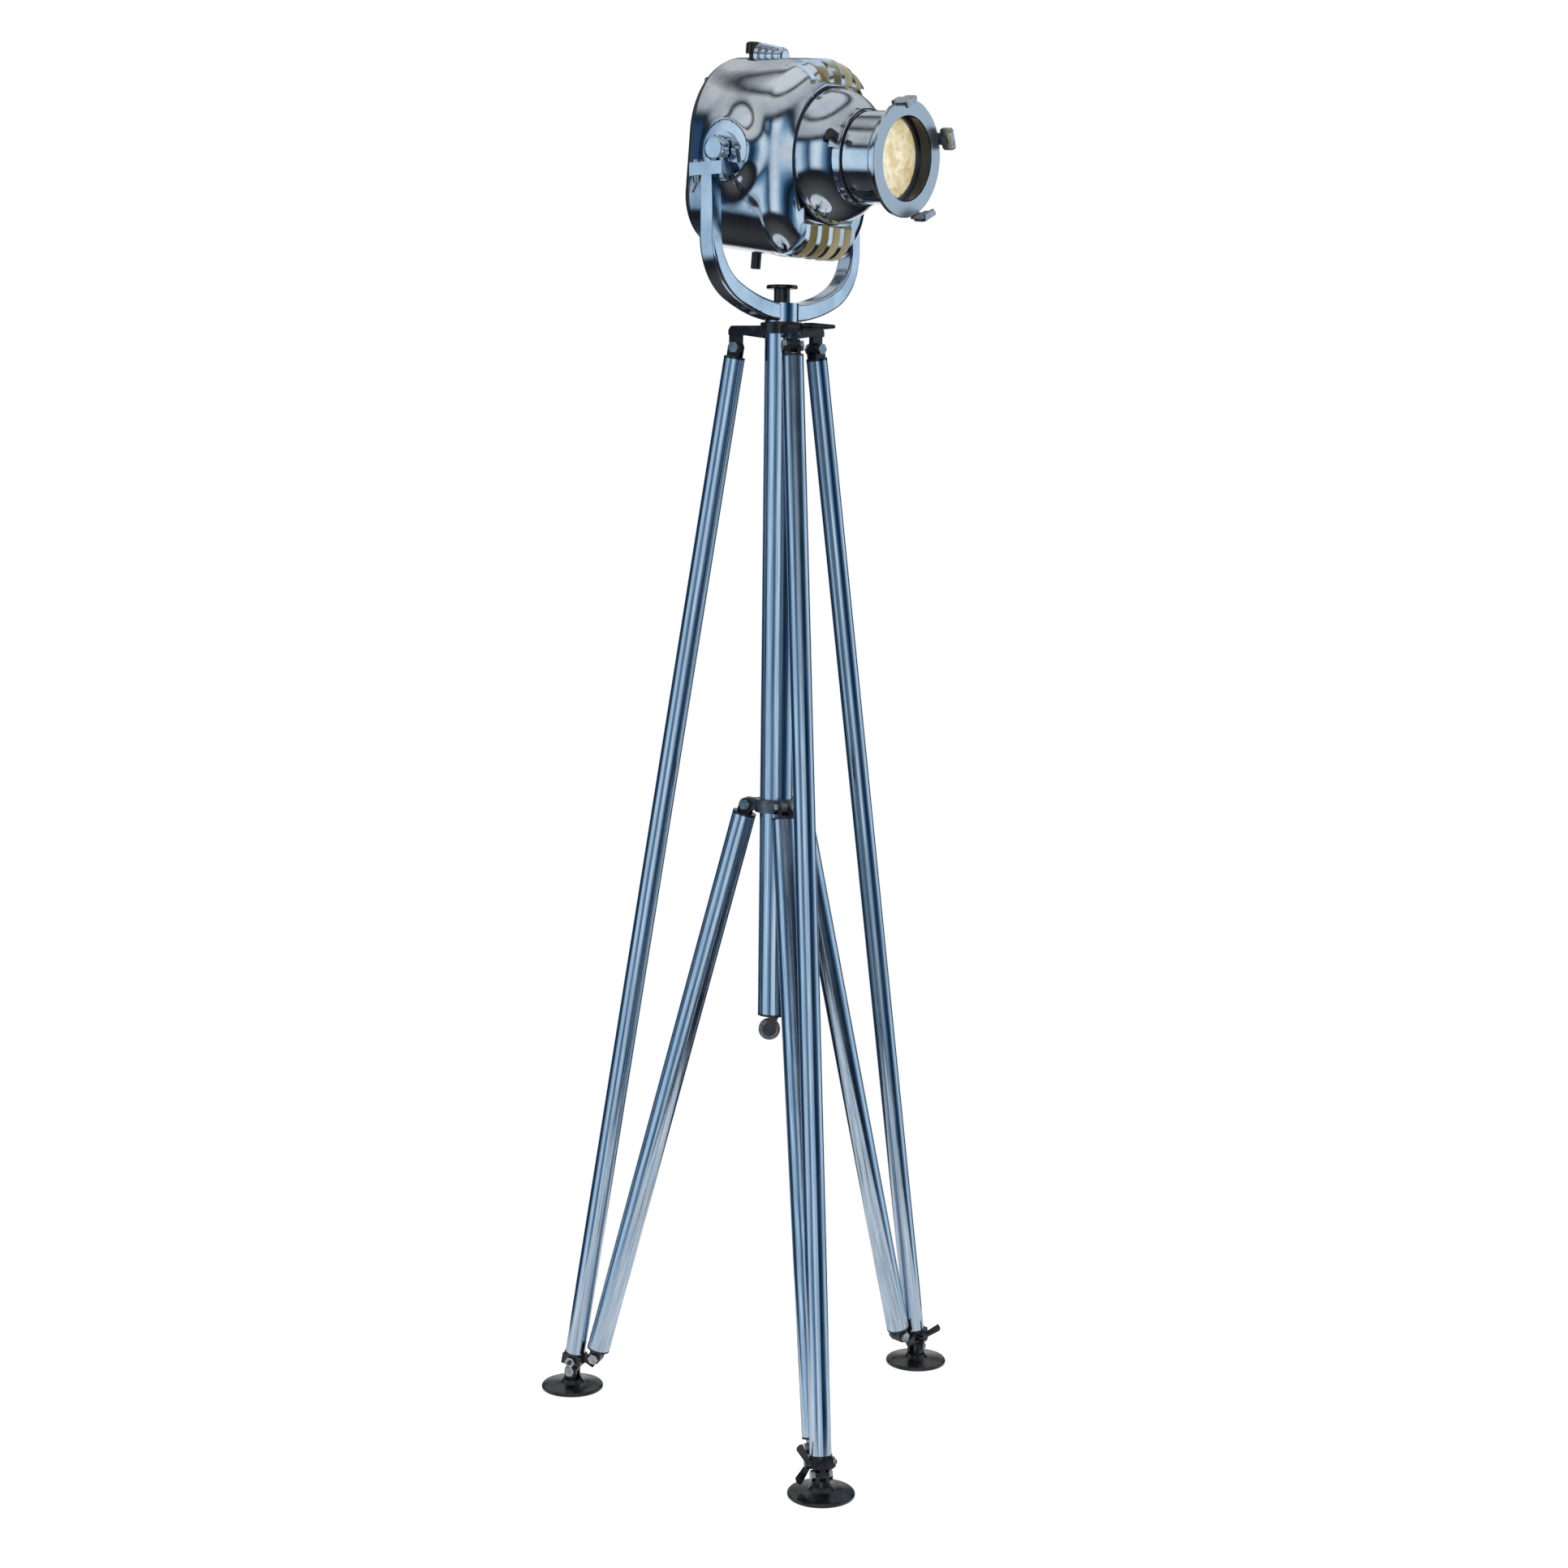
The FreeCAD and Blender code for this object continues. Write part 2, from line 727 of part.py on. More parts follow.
def build_castor():
    """Small swivel castor on the lower end of the mast.  Its axle is riveted into the
    fork, so both are one piece."""
    swivel = MAST * at(z=value("mast_bottom - end_plug_flange - face_gap"))

    fork_body = new_body("castor_fork")
    top = sketch_on(fork_body, "XY_Plane")
    circle(top, "castor_width")
    pad(fork_body, top, "castor_plate", backwards=True)
    stem = sketch_on(fork_body, "XY_Plane")
    circle(stem, "castor_stem_diameter / 2")
    pad(fork_body, stem, "end_plug_depth")
    cheeks = sketch_on(fork_body, "XZ_Plane")
    outline(cheeks, [
        ("castor_width * 0.8", "0"),
        ("castor_axle_diameter - castor_trail", "-castor_drop"),
        ("-castor_trail", "-castor_drop - castor_axle_diameter",
         "castor_axle_diameter", "right"),
        ("-castor_axle_diameter - castor_trail", "-castor_drop",
         "castor_axle_diameter", "right"),
        ("-castor_width * 0.6", "0"),
    ])
    pad(fork_body, cheeks, "castor_width + 2 * face_gap + 2 * castor_cheek", midplane=True)
    gap = sketch_on(fork_body, "XZ_Plane")
    rectangle(gap, "-3 * castor_radius", "-3 * castor_radius", "3 * castor_radius",
              "-castor_plate")
    pocket(fork_body, gap, "castor_width + 2 * face_gap", midplane=True)
    axle = sketch_on(fork_body, "XZ_Plane")
    circle(axle, "castor_axle_diameter / 2", "-castor_trail", "-castor_drop")
    pad(fork_body, axle, "castor_width + 2 * face_gap + 3 * castor_cheek", midplane=True)
    keep(fork_body, "castor_fork", swivel)

    wheel_frame = swivel * at(x=-value("castor_trail"), z=-value("castor_drop"))
    lying = at(y=value("castor_width / 2"), axis=X_AXIS, angle=90)

    hub = new_body("castor_hub")
    turned_about_z(hub, [
        ("castor_axle_diameter / 2 + fit_gap", "0"),
        ("castor_hub_radius", "0"),
        ("castor_hub_radius", "castor_width"),
        ("castor_axle_diameter / 2 + fit_gap", "castor_width"),
    ])
    keep(hub, "castor_hub", wheel_frame * lying)

    tyre = new_body("castor_tyre")
    turned_about_z(tyre, [
        ("castor_hub_radius", "0"),
        ("castor_radius * 0.93", "0"),
        ("castor_radius", "castor_width * 0.2"),
        ("castor_radius", "castor_width * 0.8"),
        ("castor_radius * 0.93", "castor_width"),
        ("castor_hub_radius", "castor_width"),
    ])
    keep(tyre, "castor_tyre", wheel_frame * lying)


# ------------------------------------------------------------- hub and collar

def build_hub():
    """Cast spider on the mast's top: a socket with three arms that turn down into
    the tongues of the leg pivots.  The lock screw enters opposite the left arm."""
    hub = new_body("hub_spider")
    turned_about_z(hub, [
        ("spigot_diameter / 2 + fit_gap", "0"),
        ("hub_diameter / 2 - seam_bevel", "0"),
        ("hub_diameter / 2", "-seam_bevel"),
        ("hub_diameter / 2", "-hub_height"),
        ("mast_diameter / 2 + fit_gap", "-hub_height"),
        ("mast_diameter / 2 + fit_gap", "-hub_web"),
        ("spigot_diameter / 2 + fit_gap", "-hub_web"),
    ])
    arm = sketch_on(hub, "XZ_Plane")
    outline(arm, [
        ("mast_diameter / 2 + hub_web / 4", "-arm_top_drop"),
        ("mast_diameter / 2 + hub_web / 4", "-arm_top_drop - arm_thickness - 4"),
        ("hub_pivot_radius - knuckle_radius", "-arm_top_drop - arm_thickness"),
        ("hub_pivot_radius + knuckle_radius", "-arm_top_drop - arm_thickness"),
        ("hub_pivot_radius + knuckle_radius", "-arm_top_drop - arm_thickness / 2"),
        ("hub_pivot_radius + knuckle_radius / 2", "-arm_top_drop", "arm_thickness", "left"),
    ])
    arm_pad = pad(hub, arm, "arm_width", midplane=True)
    repeat_round(hub, arm_pad, "Z_Axis", 3)
    tongue = sketch_on(hub, "XZ_Plane")
    outline(tongue, [
        ("hub_pivot_radius - knuckle_radius", "-arm_top_drop - arm_thickness / 2"),
        ("hub_pivot_radius - knuckle_radius", "-hub_drop"),
        ("hub_pivot_radius", "-hub_drop - knuckle_radius", "knuckle_radius", "left"),
        ("hub_pivot_radius + knuckle_radius", "-hub_drop", "knuckle_radius", "left"),
        ("hub_pivot_radius + knuckle_radius", "-arm_top_drop - arm_thickness / 2"),
    ])
    tongue_pad = pad(hub, tongue, "tongue_thickness", midplane=True)
    repeat_round(hub, tongue_pad, "Z_Axis", 3)
    bore = sketch_on(hub, "XZ_Plane")
    circle(bore, "pivot_diameter / 2 + fit_gap", "hub_pivot_radius", "-hub_drop")
    bore_cut = pocket(hub, bore, "arm_width", midplane=True)
    repeat_round(hub, bore_cut, "Z_Axis", 3)
    screw_hole = sketch_on(hub, "YZ_Plane")
    circle(screw_hole, "lock_screw_diameter / 2 + fit_gap", "0", "-hub_web / 2")
    pocket(hub, screw_hole, "hub_diameter")
    keep(hub, "hub_spider", outwards(LEGS["left"]) * at(z=value("hub_top")))

    bolts = [pivot_bolt(f"hub_bolt_{side}", outwards(azimuth) * at(
        x=value("hub_pivot_radius"), z=value("hub_pivot_height")))
        for side, azimuth in LEGS.items()]
    keep(group("hub_bolts", bolts), "hub_bolts")


def build_collar():
    """Ring that slides on the mast, with an ear for each brace."""
    collar = new_body("mid_collar")
    ring = sketch_on(collar, "XY_Plane", "-collar_height / 2")
    circle(ring, "collar_diameter / 2")
    circle(ring, "mast_diameter / 2 + slide_gap")
    pad(collar, ring, "collar_height")
    ear = sketch_on(collar, "XZ_Plane")
    outline(ear, [
        ("mast_diameter / 2 + 2", "collar_height / 2"),
        ("mast_diameter / 2 + 2", "-collar_height / 2"),
        ("collar_pivot_radius", "-knuckle_radius"),
        ("collar_pivot_radius + knuckle_radius", "0", "knuckle_radius", "left"),
        ("collar_pivot_radius", "knuckle_radius", "knuckle_radius", "left"),
    ])
    ear_pad = pad(collar, ear, "tongue_thickness", midplane=True)
    repeat_round(collar, ear_pad, "Z_Axis", 3)
    bore = sketch_on(collar, "XZ_Plane")
    circle(bore, "pivot_diameter / 2 + fit_gap", "collar_pivot_radius", "0")
    bore_cut = pocket(collar, bore, "arm_width", midplane=True)
    repeat_round(collar, bore_cut, "Z_Axis", 3)
    keep(collar, "mid_collar", outwards(LEGS["front"]) * at(z=value("collar_pivot_height")))

    bolts = [pivot_bolt(f"collar_bolt_{side}", outwards(azimuth) * at(
        x=value("collar_pivot_radius"), z=value("collar_pivot_height")))
        for side, azimuth in LEGS.items()]
    keep(group("collar_bolts", bolts), "collar_bolts")


# ------------------------------------------------------- legs, feet and braces

def build_foot_bracket(side, azimuth):
    """Casting at the end of a leg: a plug in the tube, an ear for the brace and a
    tongue for the foot."""
    body = new_body(f"foot_bracket_{side}")
    turned_about_z(body, [
        ("0", "-leg_reach + foot_neck - cap_thickness"),
        ("leg_diameter / 2 + 1", "-leg_reach + foot_neck - cap_thickness"),
        ("leg_diameter / 2 + 1", "-leg_reach + foot_neck"),
        ("leg_diameter / 2 - leg_wall - fit_gap", "-leg_reach + foot_neck"),
        ("leg_diameter / 2 - leg_wall - fit_gap", "-leg_reach + foot_neck + plug_depth"),
        ("0", "-leg_reach + foot_neck + plug_depth"),
    ])
    block = sketch_on(body, "XY_Plane", "-leg_reach + foot_neck - cap_thickness / 2")
    rectangle(block, "-bracket_depth / 2", "-bracket_width / 2", "bracket_depth / 2",
              "bracket_width / 2")
    pad(body, block, "foot_neck - bracket_drop - cap_thickness / 2", backwards=True)
    ear = sketch_on(body, "XZ_Plane")
    outline(ear, [
        ("0", "-leg_reach + bracket_drop"),
        ("0", "-leg_reach + foot_neck - cap_thickness / 2"),
        ("-bracket_offset + knuckle_radius", "-leg_reach + bracket_rise"),
        ("-bracket_offset", "-leg_reach + bracket_rise + knuckle_radius",
         "knuckle_radius", "left"),
        ("-bracket_offset - knuckle_radius", "-leg_reach + bracket_rise",
         "knuckle_radius", "left"),
        ("-bracket_offset - knuckle_radius * 0.6", "-leg_reach + bracket_rise"
         " - knuckle_radius * 0.8", "knuckle_radius", "left"),
    ])
    pad(body, ear, "tongue_thickness", midplane=True)
    tongue = sketch_on(body, "XZ_Plane")
    outline(tongue, [
        ("-knuckle_radius", "-leg_reach + bracket_drop + 1"),
        ("-knuckle_radius", "-leg_reach"),
        ("0", "-leg_reach - knuckle_radius", "knuckle_radius", "left"),
        ("knuckle_radius", "-leg_reach", "knuckle_radius", "left"),
        ("knuckle_radius", "-leg_reach + bracket_drop + 1"),
    ])
    pad(body, tongue, "tongue_thickness", midplane=True)
    for place in (("-bracket_offset", "-leg_reach + bracket_rise"), ("0", "-leg_reach")):
        bore = sketch_on(body, "XZ_Plane")
        circle(bore, "pivot_diameter / 2 + fit_gap", *place)
        pocket(body, bore, "bracket_width", midplane=True)
    screw_hole = sketch_on(body, "XZ_Plane")
    circle(screw_hole, "wing_screw_diameter / 2 + fit_gap", "0", "-leg_reach + wing_screw_rise")
    pocket(body, screw_hole, "2 * bracket_width", midplane=True)
    keep(body, f"foot_bracket_{side}", leg_frame(azimuth))


def build_leg(side, azimuth):
    frame = leg_frame(azimuth)

    top = fork(f"leg_fork_{side}", "leg_diameter", "leg_wall", "fit_gap")
    keep(top, f"leg_fork_{side}", frame)

    leg = tube(f"leg_tube_{side}", "leg_diameter", "leg_wall",
               "leg_reach - foot_neck - fork_reach - cap_thickness")
    keep(leg, f"leg_tube_{side}", frame * at(z=-value("fork_reach + cap_thickness")))

    build_foot_bracket(side, azimuth)

    cross = at(z=-value("leg_reach - wing_screw_rise")) * at(axis=X_AXIS, angle=90)
    blank = hexagon(f"wing_nut_blank_{side}", "bolt_head_radius", "bolt_head")
    hole = cylinder(f"wing_nut_hole_{side}", "wing_screw_diameter / 2 + fit_gap", "bolt_head")
    nut = cut(f"wing_nut_{side}", blank, hole)
    nut.Placement = frame * cross * at(z=-value("bracket_width / 2 + fit_gap + bolt_head"))
    bolts = [
        pivot_bolt(f"brace_bolt_{side}", frame * at(
            x=-value("bracket_offset"), z=-value("leg_reach - bracket_rise"))),
        pivot_bolt(f"ankle_bolt_{side}", foot_frame(azimuth) * at(z=value("foot_pin_height"))),
        nut,
    ]
    keep(group(f"foot_bolts_{side}", bolts), f"foot_bolts_{side}")

    screw = wing(f"wing_screw_{side}", "wing_span",
                 "bracket_width + face_gap + 1.5 * bolt_head", "wing_screw_diameter")
    seat = cross * at(z=value("bracket_width / 2 + face_gap"))
    keep(screw, f"wing_screw_{side}", frame * seat * at(axis=Z_AXIS, angle=WING_TURNS[side]))


def build_foot(side, azimuth):
    """Flat round foot with two cheeks round the ankle pin."""
    foot = new_body(f"foot_disc_{side}")
    turned_about_z(foot, [
        ("0", "0"),
        ("foot_diameter / 2 - 1", "0"),
        ("foot_diameter / 2", "1"),
        ("foot_diameter / 2", "foot_thickness - 1.5"),
        ("foot_diameter / 2 - 1.5", "foot_thickness"),
        ("foot_boss_diameter / 2 + 4", "foot_thickness + foot_crown"),
        ("foot_boss_diameter / 2", "foot_boss_height"),
        ("0", "foot_boss_height"),
    ])
    cheeks = sketch_on(foot, "XZ_Plane")
    outline(cheeks, [
        ("-knuckle_radius", "foot_pin_height", "knuckle_radius", "left"),
        ("-knuckle_radius", "foot_thickness"),
        ("knuckle_radius", "foot_thickness"),
        ("knuckle_radius", "foot_pin_height"),
        ("0", "foot_pin_height + knuckle_radius", "knuckle_radius", "left"),
    ])
    pad(foot, cheeks, "tongue_thickness + 2 * face_gap + 2 * cheek_thickness", midplane=True)
    slot = sketch_on(foot, "XZ_Plane")
    rectangle(slot, "-foot_boss_diameter", "foot_boss_height", "foot_boss_diameter",
              "foot_pin_height + 2 * knuckle_radius")
    pocket(foot, slot, "tongue_thickness + 2 * face_gap", midplane=True)
    bore = sketch_on(foot, "XZ_Plane")
    circle(bore, "pivot_diameter / 2 + fit_gap", "0", "foot_pin_height")
    pocket(foot, bore, midplane=True)
    keep(foot, f"foot_disc_{side}", foot_frame(azimuth))


def build_brace(side, azimuth):
    frame = brace_frame(azimuth)
    top = fork(f"brace_top_{side}", "brace_diameter", "brace_wall", "fit_gap")
    foot = fork(f"brace_foot_{side}", "brace_diameter", "brace_wall", "open_gap")
    foot.Placement = at(z=-value("brace_length"), axis=Y_AXIS, angle=180)
    keep(group(f"brace_forks_{side}", [top, foot]), f"brace_forks_{side}", frame)

    brace = tube(f"brace_tube_{side}", "brace_diameter", "brace_wall",
                 "brace_length - 2 * fork_reach - 2 * cap_thickness")
    keep(brace, f"brace_tube_{side}", frame * at(z=-value("fork_reach + cap_thickness")))


# ------------------------------------------------------------------------ yoke

def build_yoke():
    """Cast U whose base and corners are three tangent arcs, with a boss for the
    spigot and a flange on each arm for the trunnion clamp."""
    yoke = new_body("yoke")
    outer_corner = "yoke_outer_corner_y * yoke_outer_ratio"
    outer_height = ("yoke_arc_centre + (yoke_outer_corner_z - yoke_arc_centre)"
                    " * yoke_outer_ratio")
    inner_corner = "yoke_inner_corner_y * yoke_inner_ratio"
    inner_height = ("yoke_arc_centre + (yoke_inner_corner_z - yoke_arc_centre)"
                    " * yoke_inner_ratio")
    section = sketch_on(yoke, "YZ_Plane")
    outline(section, [
        ("-yoke_half_width", "-arm_top"),
        ("-yoke_half_width", "yoke_outer_corner_z"),
        (f"-({outer_corner})", outer_height, "yoke_corner_arc", "left"),
        (outer_corner, outer_height, "yoke_base_arc", "left"),
        ("yoke_half_width", "yoke_outer_corner_z", "yoke_corner_arc", "left"),
        ("yoke_half_width", "-arm_top"),
        ("yoke_inner_half", "-arm_top"),
        ("yoke_inner_half", "yoke_inner_corner_z"),
        (inner_corner, inner_height, "yoke_inner_corner_arc", "right"),
        (f"-({inner_corner})", inner_height, "yoke_inner_base_arc", "right"),
        ("-yoke_inner_half", "yoke_inner_corner_z", "yoke_inner_corner_arc", "right"),
        ("-yoke_inner_half", "-arm_top"),
    ])
    bar = pad(yoke, section, "yoke_depth", midplane=True)
    half_depth = value("yoke_depth / 2")

    def long_edge(edge):
        ends = [vertex.Point for vertex in edge.Vertexes]
        return all(abs(abs(point.x) - half_depth) < 0.01 for point in ends) and abs(
            ends[0].x - ends[-1].x) < 0.01 and not all(
            abs(point.z + value("arm_top")) < 0.01 for point in ends)

    fillet_edges(yoke, bar, "yoke_edge", long_edge)
    for sign in ("", "-"):
        wedge = sketch_on(yoke, "XZ_Plane")
        outline(wedge, [
            (f"{sign}yoke_depth / 2", "-arm_top - yoke_taper_length"),
            (f"{sign}yoke_depth", "-arm_top - yoke_taper_length"),
            (f"{sign}yoke_depth", "-arm_top + 1"),
            (f"{sign}yoke_top_depth / 2", "-arm_top + 1"),
        ])
        pocket(yoke, wedge, midplane=True)
    boss = sketch_on(yoke, "XY_Plane", "-yoke_drop")
    circle(boss, "yoke_boss_diameter / 2")
    pad(yoke, boss, "yoke_base_thickness")
    bore = sketch_on(yoke, "XY_Plane", "-yoke_drop")
    circle(bore, "spigot_diameter / 2 + fit_gap")
    pocket(yoke, bore, "yoke_base_thickness + 1", backwards=True)
    for sign in ("", "-"):
        flange = sketch_on(yoke, "XY_Plane", "-arm_top")
        outline(flange, [
            ("-shelf_length / 2", f"{sign}(arm_middle - shelf_width / 2)"),
            ("shelf_length / 2", f"{sign}(arm_middle - shelf_width / 2)"),
            ("shelf_length / 2", f"{sign}(arm_middle + shelf_width / 2)"),
            ("-shelf_length / 2", f"{sign}(arm_middle + shelf_width / 2)"),
        ])
        pad(yoke, flange, "shelf_thickness")
        holes = sketch_on(yoke, "XY_Plane", "-arm_top")
        for place in ("clamp_bolt_offset", "-clamp_bolt_offset"):
            circle(holes, "clamp_bolt_diameter / 2 + fit_gap", place, f"{sign}arm_middle")
        pocket(yoke, holes, "shelf_thickness", backwards=True)
    keep(yoke, "yoke", YOKE)

    spigot = cylinder("spigot_bar", "spigot_diameter / 2", "spigot_length")
    screw_hole = cylinder("spigot_screw_hole", "pan_screw_diameter / 2 + fit_gap",
                          "spigot_length / 2", at(z=value("spigot_length / 2")))
    keep(cut("spigot_bored", spigot, screw_hole), "yoke_spigot", YOKE * at(
        z=-value("yoke_drop - yoke_base_thickness + spigot_length")))


def build_pan_knob():
    """Flat round knob that clamps the yoke to its spigot."""
    knob = new_body("pan_knob")
    turned_about_z(knob, [
        ("0", "-spigot_length / 3"),
        ("pan_screw_diameter / 2", "-spigot_length / 3"),
        ("pan_screw_diameter / 2", "0"),
        ("pan_stem_diameter / 2", "0"),
        ("pan_stem_diameter / 2", "pan_stem_length"),
        ("pan_knob_diameter / 2 - 1", "pan_stem_length"),
        ("pan_knob_diameter / 2", "pan_stem_length + 1"),
        ("pan_knob_diameter / 2", "pan_stem_length + pan_knob_thickness - 1"),
        ("pan_knob_diameter / 2 - 1", "pan_stem_length + pan_knob_thickness"),
        ("0", "pan_stem_length + pan_knob_thickness"),
    ])
    keep(knob, "pan_knob", YOKE * at(z=-value("yoke_drop - yoke_base_thickness - face_gap")))


def build_hub_lock():
    """Tapered grip on a screw through the hub, which bears on the spigot."""
    lock = new_body("hub_lock_screw")
    turned_about_x(lock, [
        ("spigot_diameter / 2 + face_gap", "0"),
        ("spigot_diameter / 2 + face_gap", "lock_screw_diameter / 2"),
        ("hub_diameter / 2 + 2", "lock_screw_diameter / 2"),
        ("hub_diameter / 2 + 2", "lock_radius"),
        ("hub_diameter / 2 + lock_length / 3", "lock_radius"),
        ("hub_diameter / 2 + lock_length", "lock_tip_radius"),
        ("hub_diameter / 2 + lock_length + lock_tip_radius", "0", "lock_tip_radius", "right"),
    ])
    keep(lock, "hub_lock_screw", outwards(LEGS["left"] + 180) * at(
        z=value("hub_top - hub_web / 2")))


def build_trunnion(side, sign):
    """Clamp on one arm of the yoke: an eye plate round the tilt stud on a shelf that
    two bolts hold to the arm's flange."""
    bracket = new_body(f"trunnion_bracket_{side}")
    inner = "eye_inner" if sign > 0 else "-(eye_inner + eye_thickness)"
    eye = sketch_on(bracket, "XZ_Plane", f"-({inner} + eye_thickness)")
    outline(eye, [
        ("-shelf_length / 2", "-shelf_base"),
        ("shelf_length / 2", "-shelf_base"),
        ("shelf_length / 2", "-shelf_drop"),
        ("eye_radius", "0"),
        ("0", "eye_radius", "eye_radius", "left"),
        ("-eye_radius", "0", "eye_radius", "left"),
        ("-shelf_length / 2", "-shelf_drop"),
    ])
    pad(bracket, eye, "eye_thickness")
    shelf = sketch_on(bracket, "XY_Plane", "-shelf_base")
    near = "eye_inner + eye_thickness / 2"
    far = "arm_middle + shelf_width / 2"
    low, high = (near, far) if sign > 0 else (f"-({far})", f"-({near})")
    rectangle(shelf, "-shelf_length / 2", low, "shelf_length / 2", high)
    pad(bracket, shelf, "shelf_thickness")
    bore = sketch_on(bracket, "XZ_Plane")
    circle(bore, "stud_diameter / 2 + fit_gap")
    pocket(bracket, bore, midplane=True)
    holes = sketch_on(bracket, "XY_Plane", "-shelf_base")
    for place in ("clamp_bolt_offset", "-clamp_bolt_offset"):
        circle(holes, "clamp_bolt_diameter / 2 + fit_gap", place,
               "arm_middle" if sign > 0 else "-arm_middle")
    pocket(bracket, holes, "shelf_thickness", backwards=True)
    keep(bracket, f"trunnion_bracket_{side}", YOKE)

    nut = wing(f"trunnion_wing_{side}", "clamp_wing_span", "0", "clamp_bolt_diameter", "wing_base_length")
    seat = at(x=-value("clamp_bolt_offset"), y=sign * value("arm_middle"),
              z=-value("arm_top + face_gap"), axis=X_AXIS, angle=180)
    keep(nut, f"trunnion_wing_{side}", YOKE * seat)

    knob = lobed_knob(f"tilt_knob_{side}", "tilt_knob_radius", "tilt_knob_thickness", "2",
                      "stud_diameter / 2 + fit_gap", "stud_depth + 1")
    knob_seat = at(y=sign * value("eye_inner + eye_thickness + face_gap"), axis=X_AXIS,
                   angle=-90 * sign)
    keep(knob, f"tilt_knob_{side}", HEAD * knob_seat)


def clamp_bolt(name, x, y, with_nut):
    """Hex bolt through a trunnion shelf and the yoke's flange."""
    head = hexagon(name + "_head", "clamp_bolt_diameter", "clamp_bolt_diameter * 0.7",
                   at(x, y, -value("shelf_drop - fit_gap")))
    shank = cylinder(name + "_shank", "clamp_bolt_diameter / 2",
                     "2 * shelf_thickness + clamp_bolt_diameter",
                     at(x, y, -value("arm_top + clamp_bolt_diameter - fit_gap")))
    pieces = [head, shank]
    if with_nut:
        pieces.append(hexagon(name + "_nut", "clamp_bolt_diameter",
                              "clamp_bolt_diameter * 0.7",
                              at(x, y, -value("arm_top + clamp_bolt_diameter * 0.7 + fit_gap"))))
    return fuse(name, pieces)


def build_trunnion_bolts():
    bolts = []
    for side, sign in (("left", -1), ("right", 1)):
        across = sign * value("arm_middle")
        along = value("clamp_bolt_offset")
        bolts.append(clamp_bolt(f"front_clamp_bolt_{side}", along, across, True))
        bolts.append(clamp_bolt(f"rear_clamp_bolt_{side}", -along, across, False))
    keep(group("trunnion_bolts", bolts), "trunnion_bolts", YOKE)


# ------------------------------------------------------------------ lamp house

def loaf_section(body, inset, place):
    """Section of the housing: an arched top, upright sides and a rounded floor that
    lies lower towards the front."""
    side = f"(house_half_width - ({inset}))"
    foot = f"(house_foot_round - ({inset}))"
    floor = (f"(house_half_height - ({inset}) - floor_rise * (house_front - ({place}))"
             " / (house_front + house_rear))")
    section = sketch_on(body, "YZ_Plane", place)
    outline(section, [
        (side, "house_offset"),
        ("0", f"house_offset + {side}", side, "left"),
        (f"-{side}", "house_offset", side, "left"),
        (f"-{side}", f"-{floor} + {foot}"),
        (f"-{side} + {foot}", f"-{floor}", foot, "left"),
        (f"{side} - {foot}", f"-{floor}"),
        (side, f"-{floor} + {foot}", foot, "left"),
    ])
    return section


def loaf(name, inset, rear, front, rounding, round_end):
    """Length of the housing's section, rounded at one of its ends."""
    body = new_body(name + "_sections")
    block = doc.addObject("Part::Loft", name + "_loft")
    block.Sections = [loaf_section(body, inset, rear), loaf_section(body, inset, front)]
    block.Solid = True
    doc.recompute()
    end = value(front) if round_end == "front" else value(rear)
    rounded = doc.addObject("Part::Fillet", name)
    rounded.Base = block
    rounded.Edges = [(index + 1, value(rounding), value(rounding))
                     for index, edge in enumerate(block.Shape.Edges)
                     if all(abs(vertex.Point.x - end) < 0.01 for vertex in edge.Vertexes)]
    return rounded


def barrel(name, inset):
    """Round barrel along the lens axis: it rises out of the housing's sides and
    draws in to the neck."""
    body = new_body(name)
    turned_about_x(body, [
        ("-barrel_run", "0"),
        ("-barrel_run", f"barrel_radius - barrel_fade - ({inset})"),
        ("0", f"barrel_radius - ({inset})", "barrel_rear_arc", "right"),
        (f"neck_face - ({inset})", f"neck_radius - ({inset})", "barrel_arc", "right"),
        (f"neck_face - ({inset})", "0"),
    ])
    body.Placement = at(z=value("lens_rise"))
    return body


def vent_slabs(name, thickness, count, along, depth, low, high):
    """Upright slabs side by side across the head, for the ribs or for their gaps."""
    slabs = []
    first = -value(f"({count} - 1) * vent_pitch / 2")
    for index in range(round(value(count))):
        place = at(value(along), first + index * value("vent_pitch") - value(thickness) / 2,
                   value(low))
        slabs.append(box(f"{name}_{index}", depth, thickness, f"{high} - ({low})", place))
    return slabs


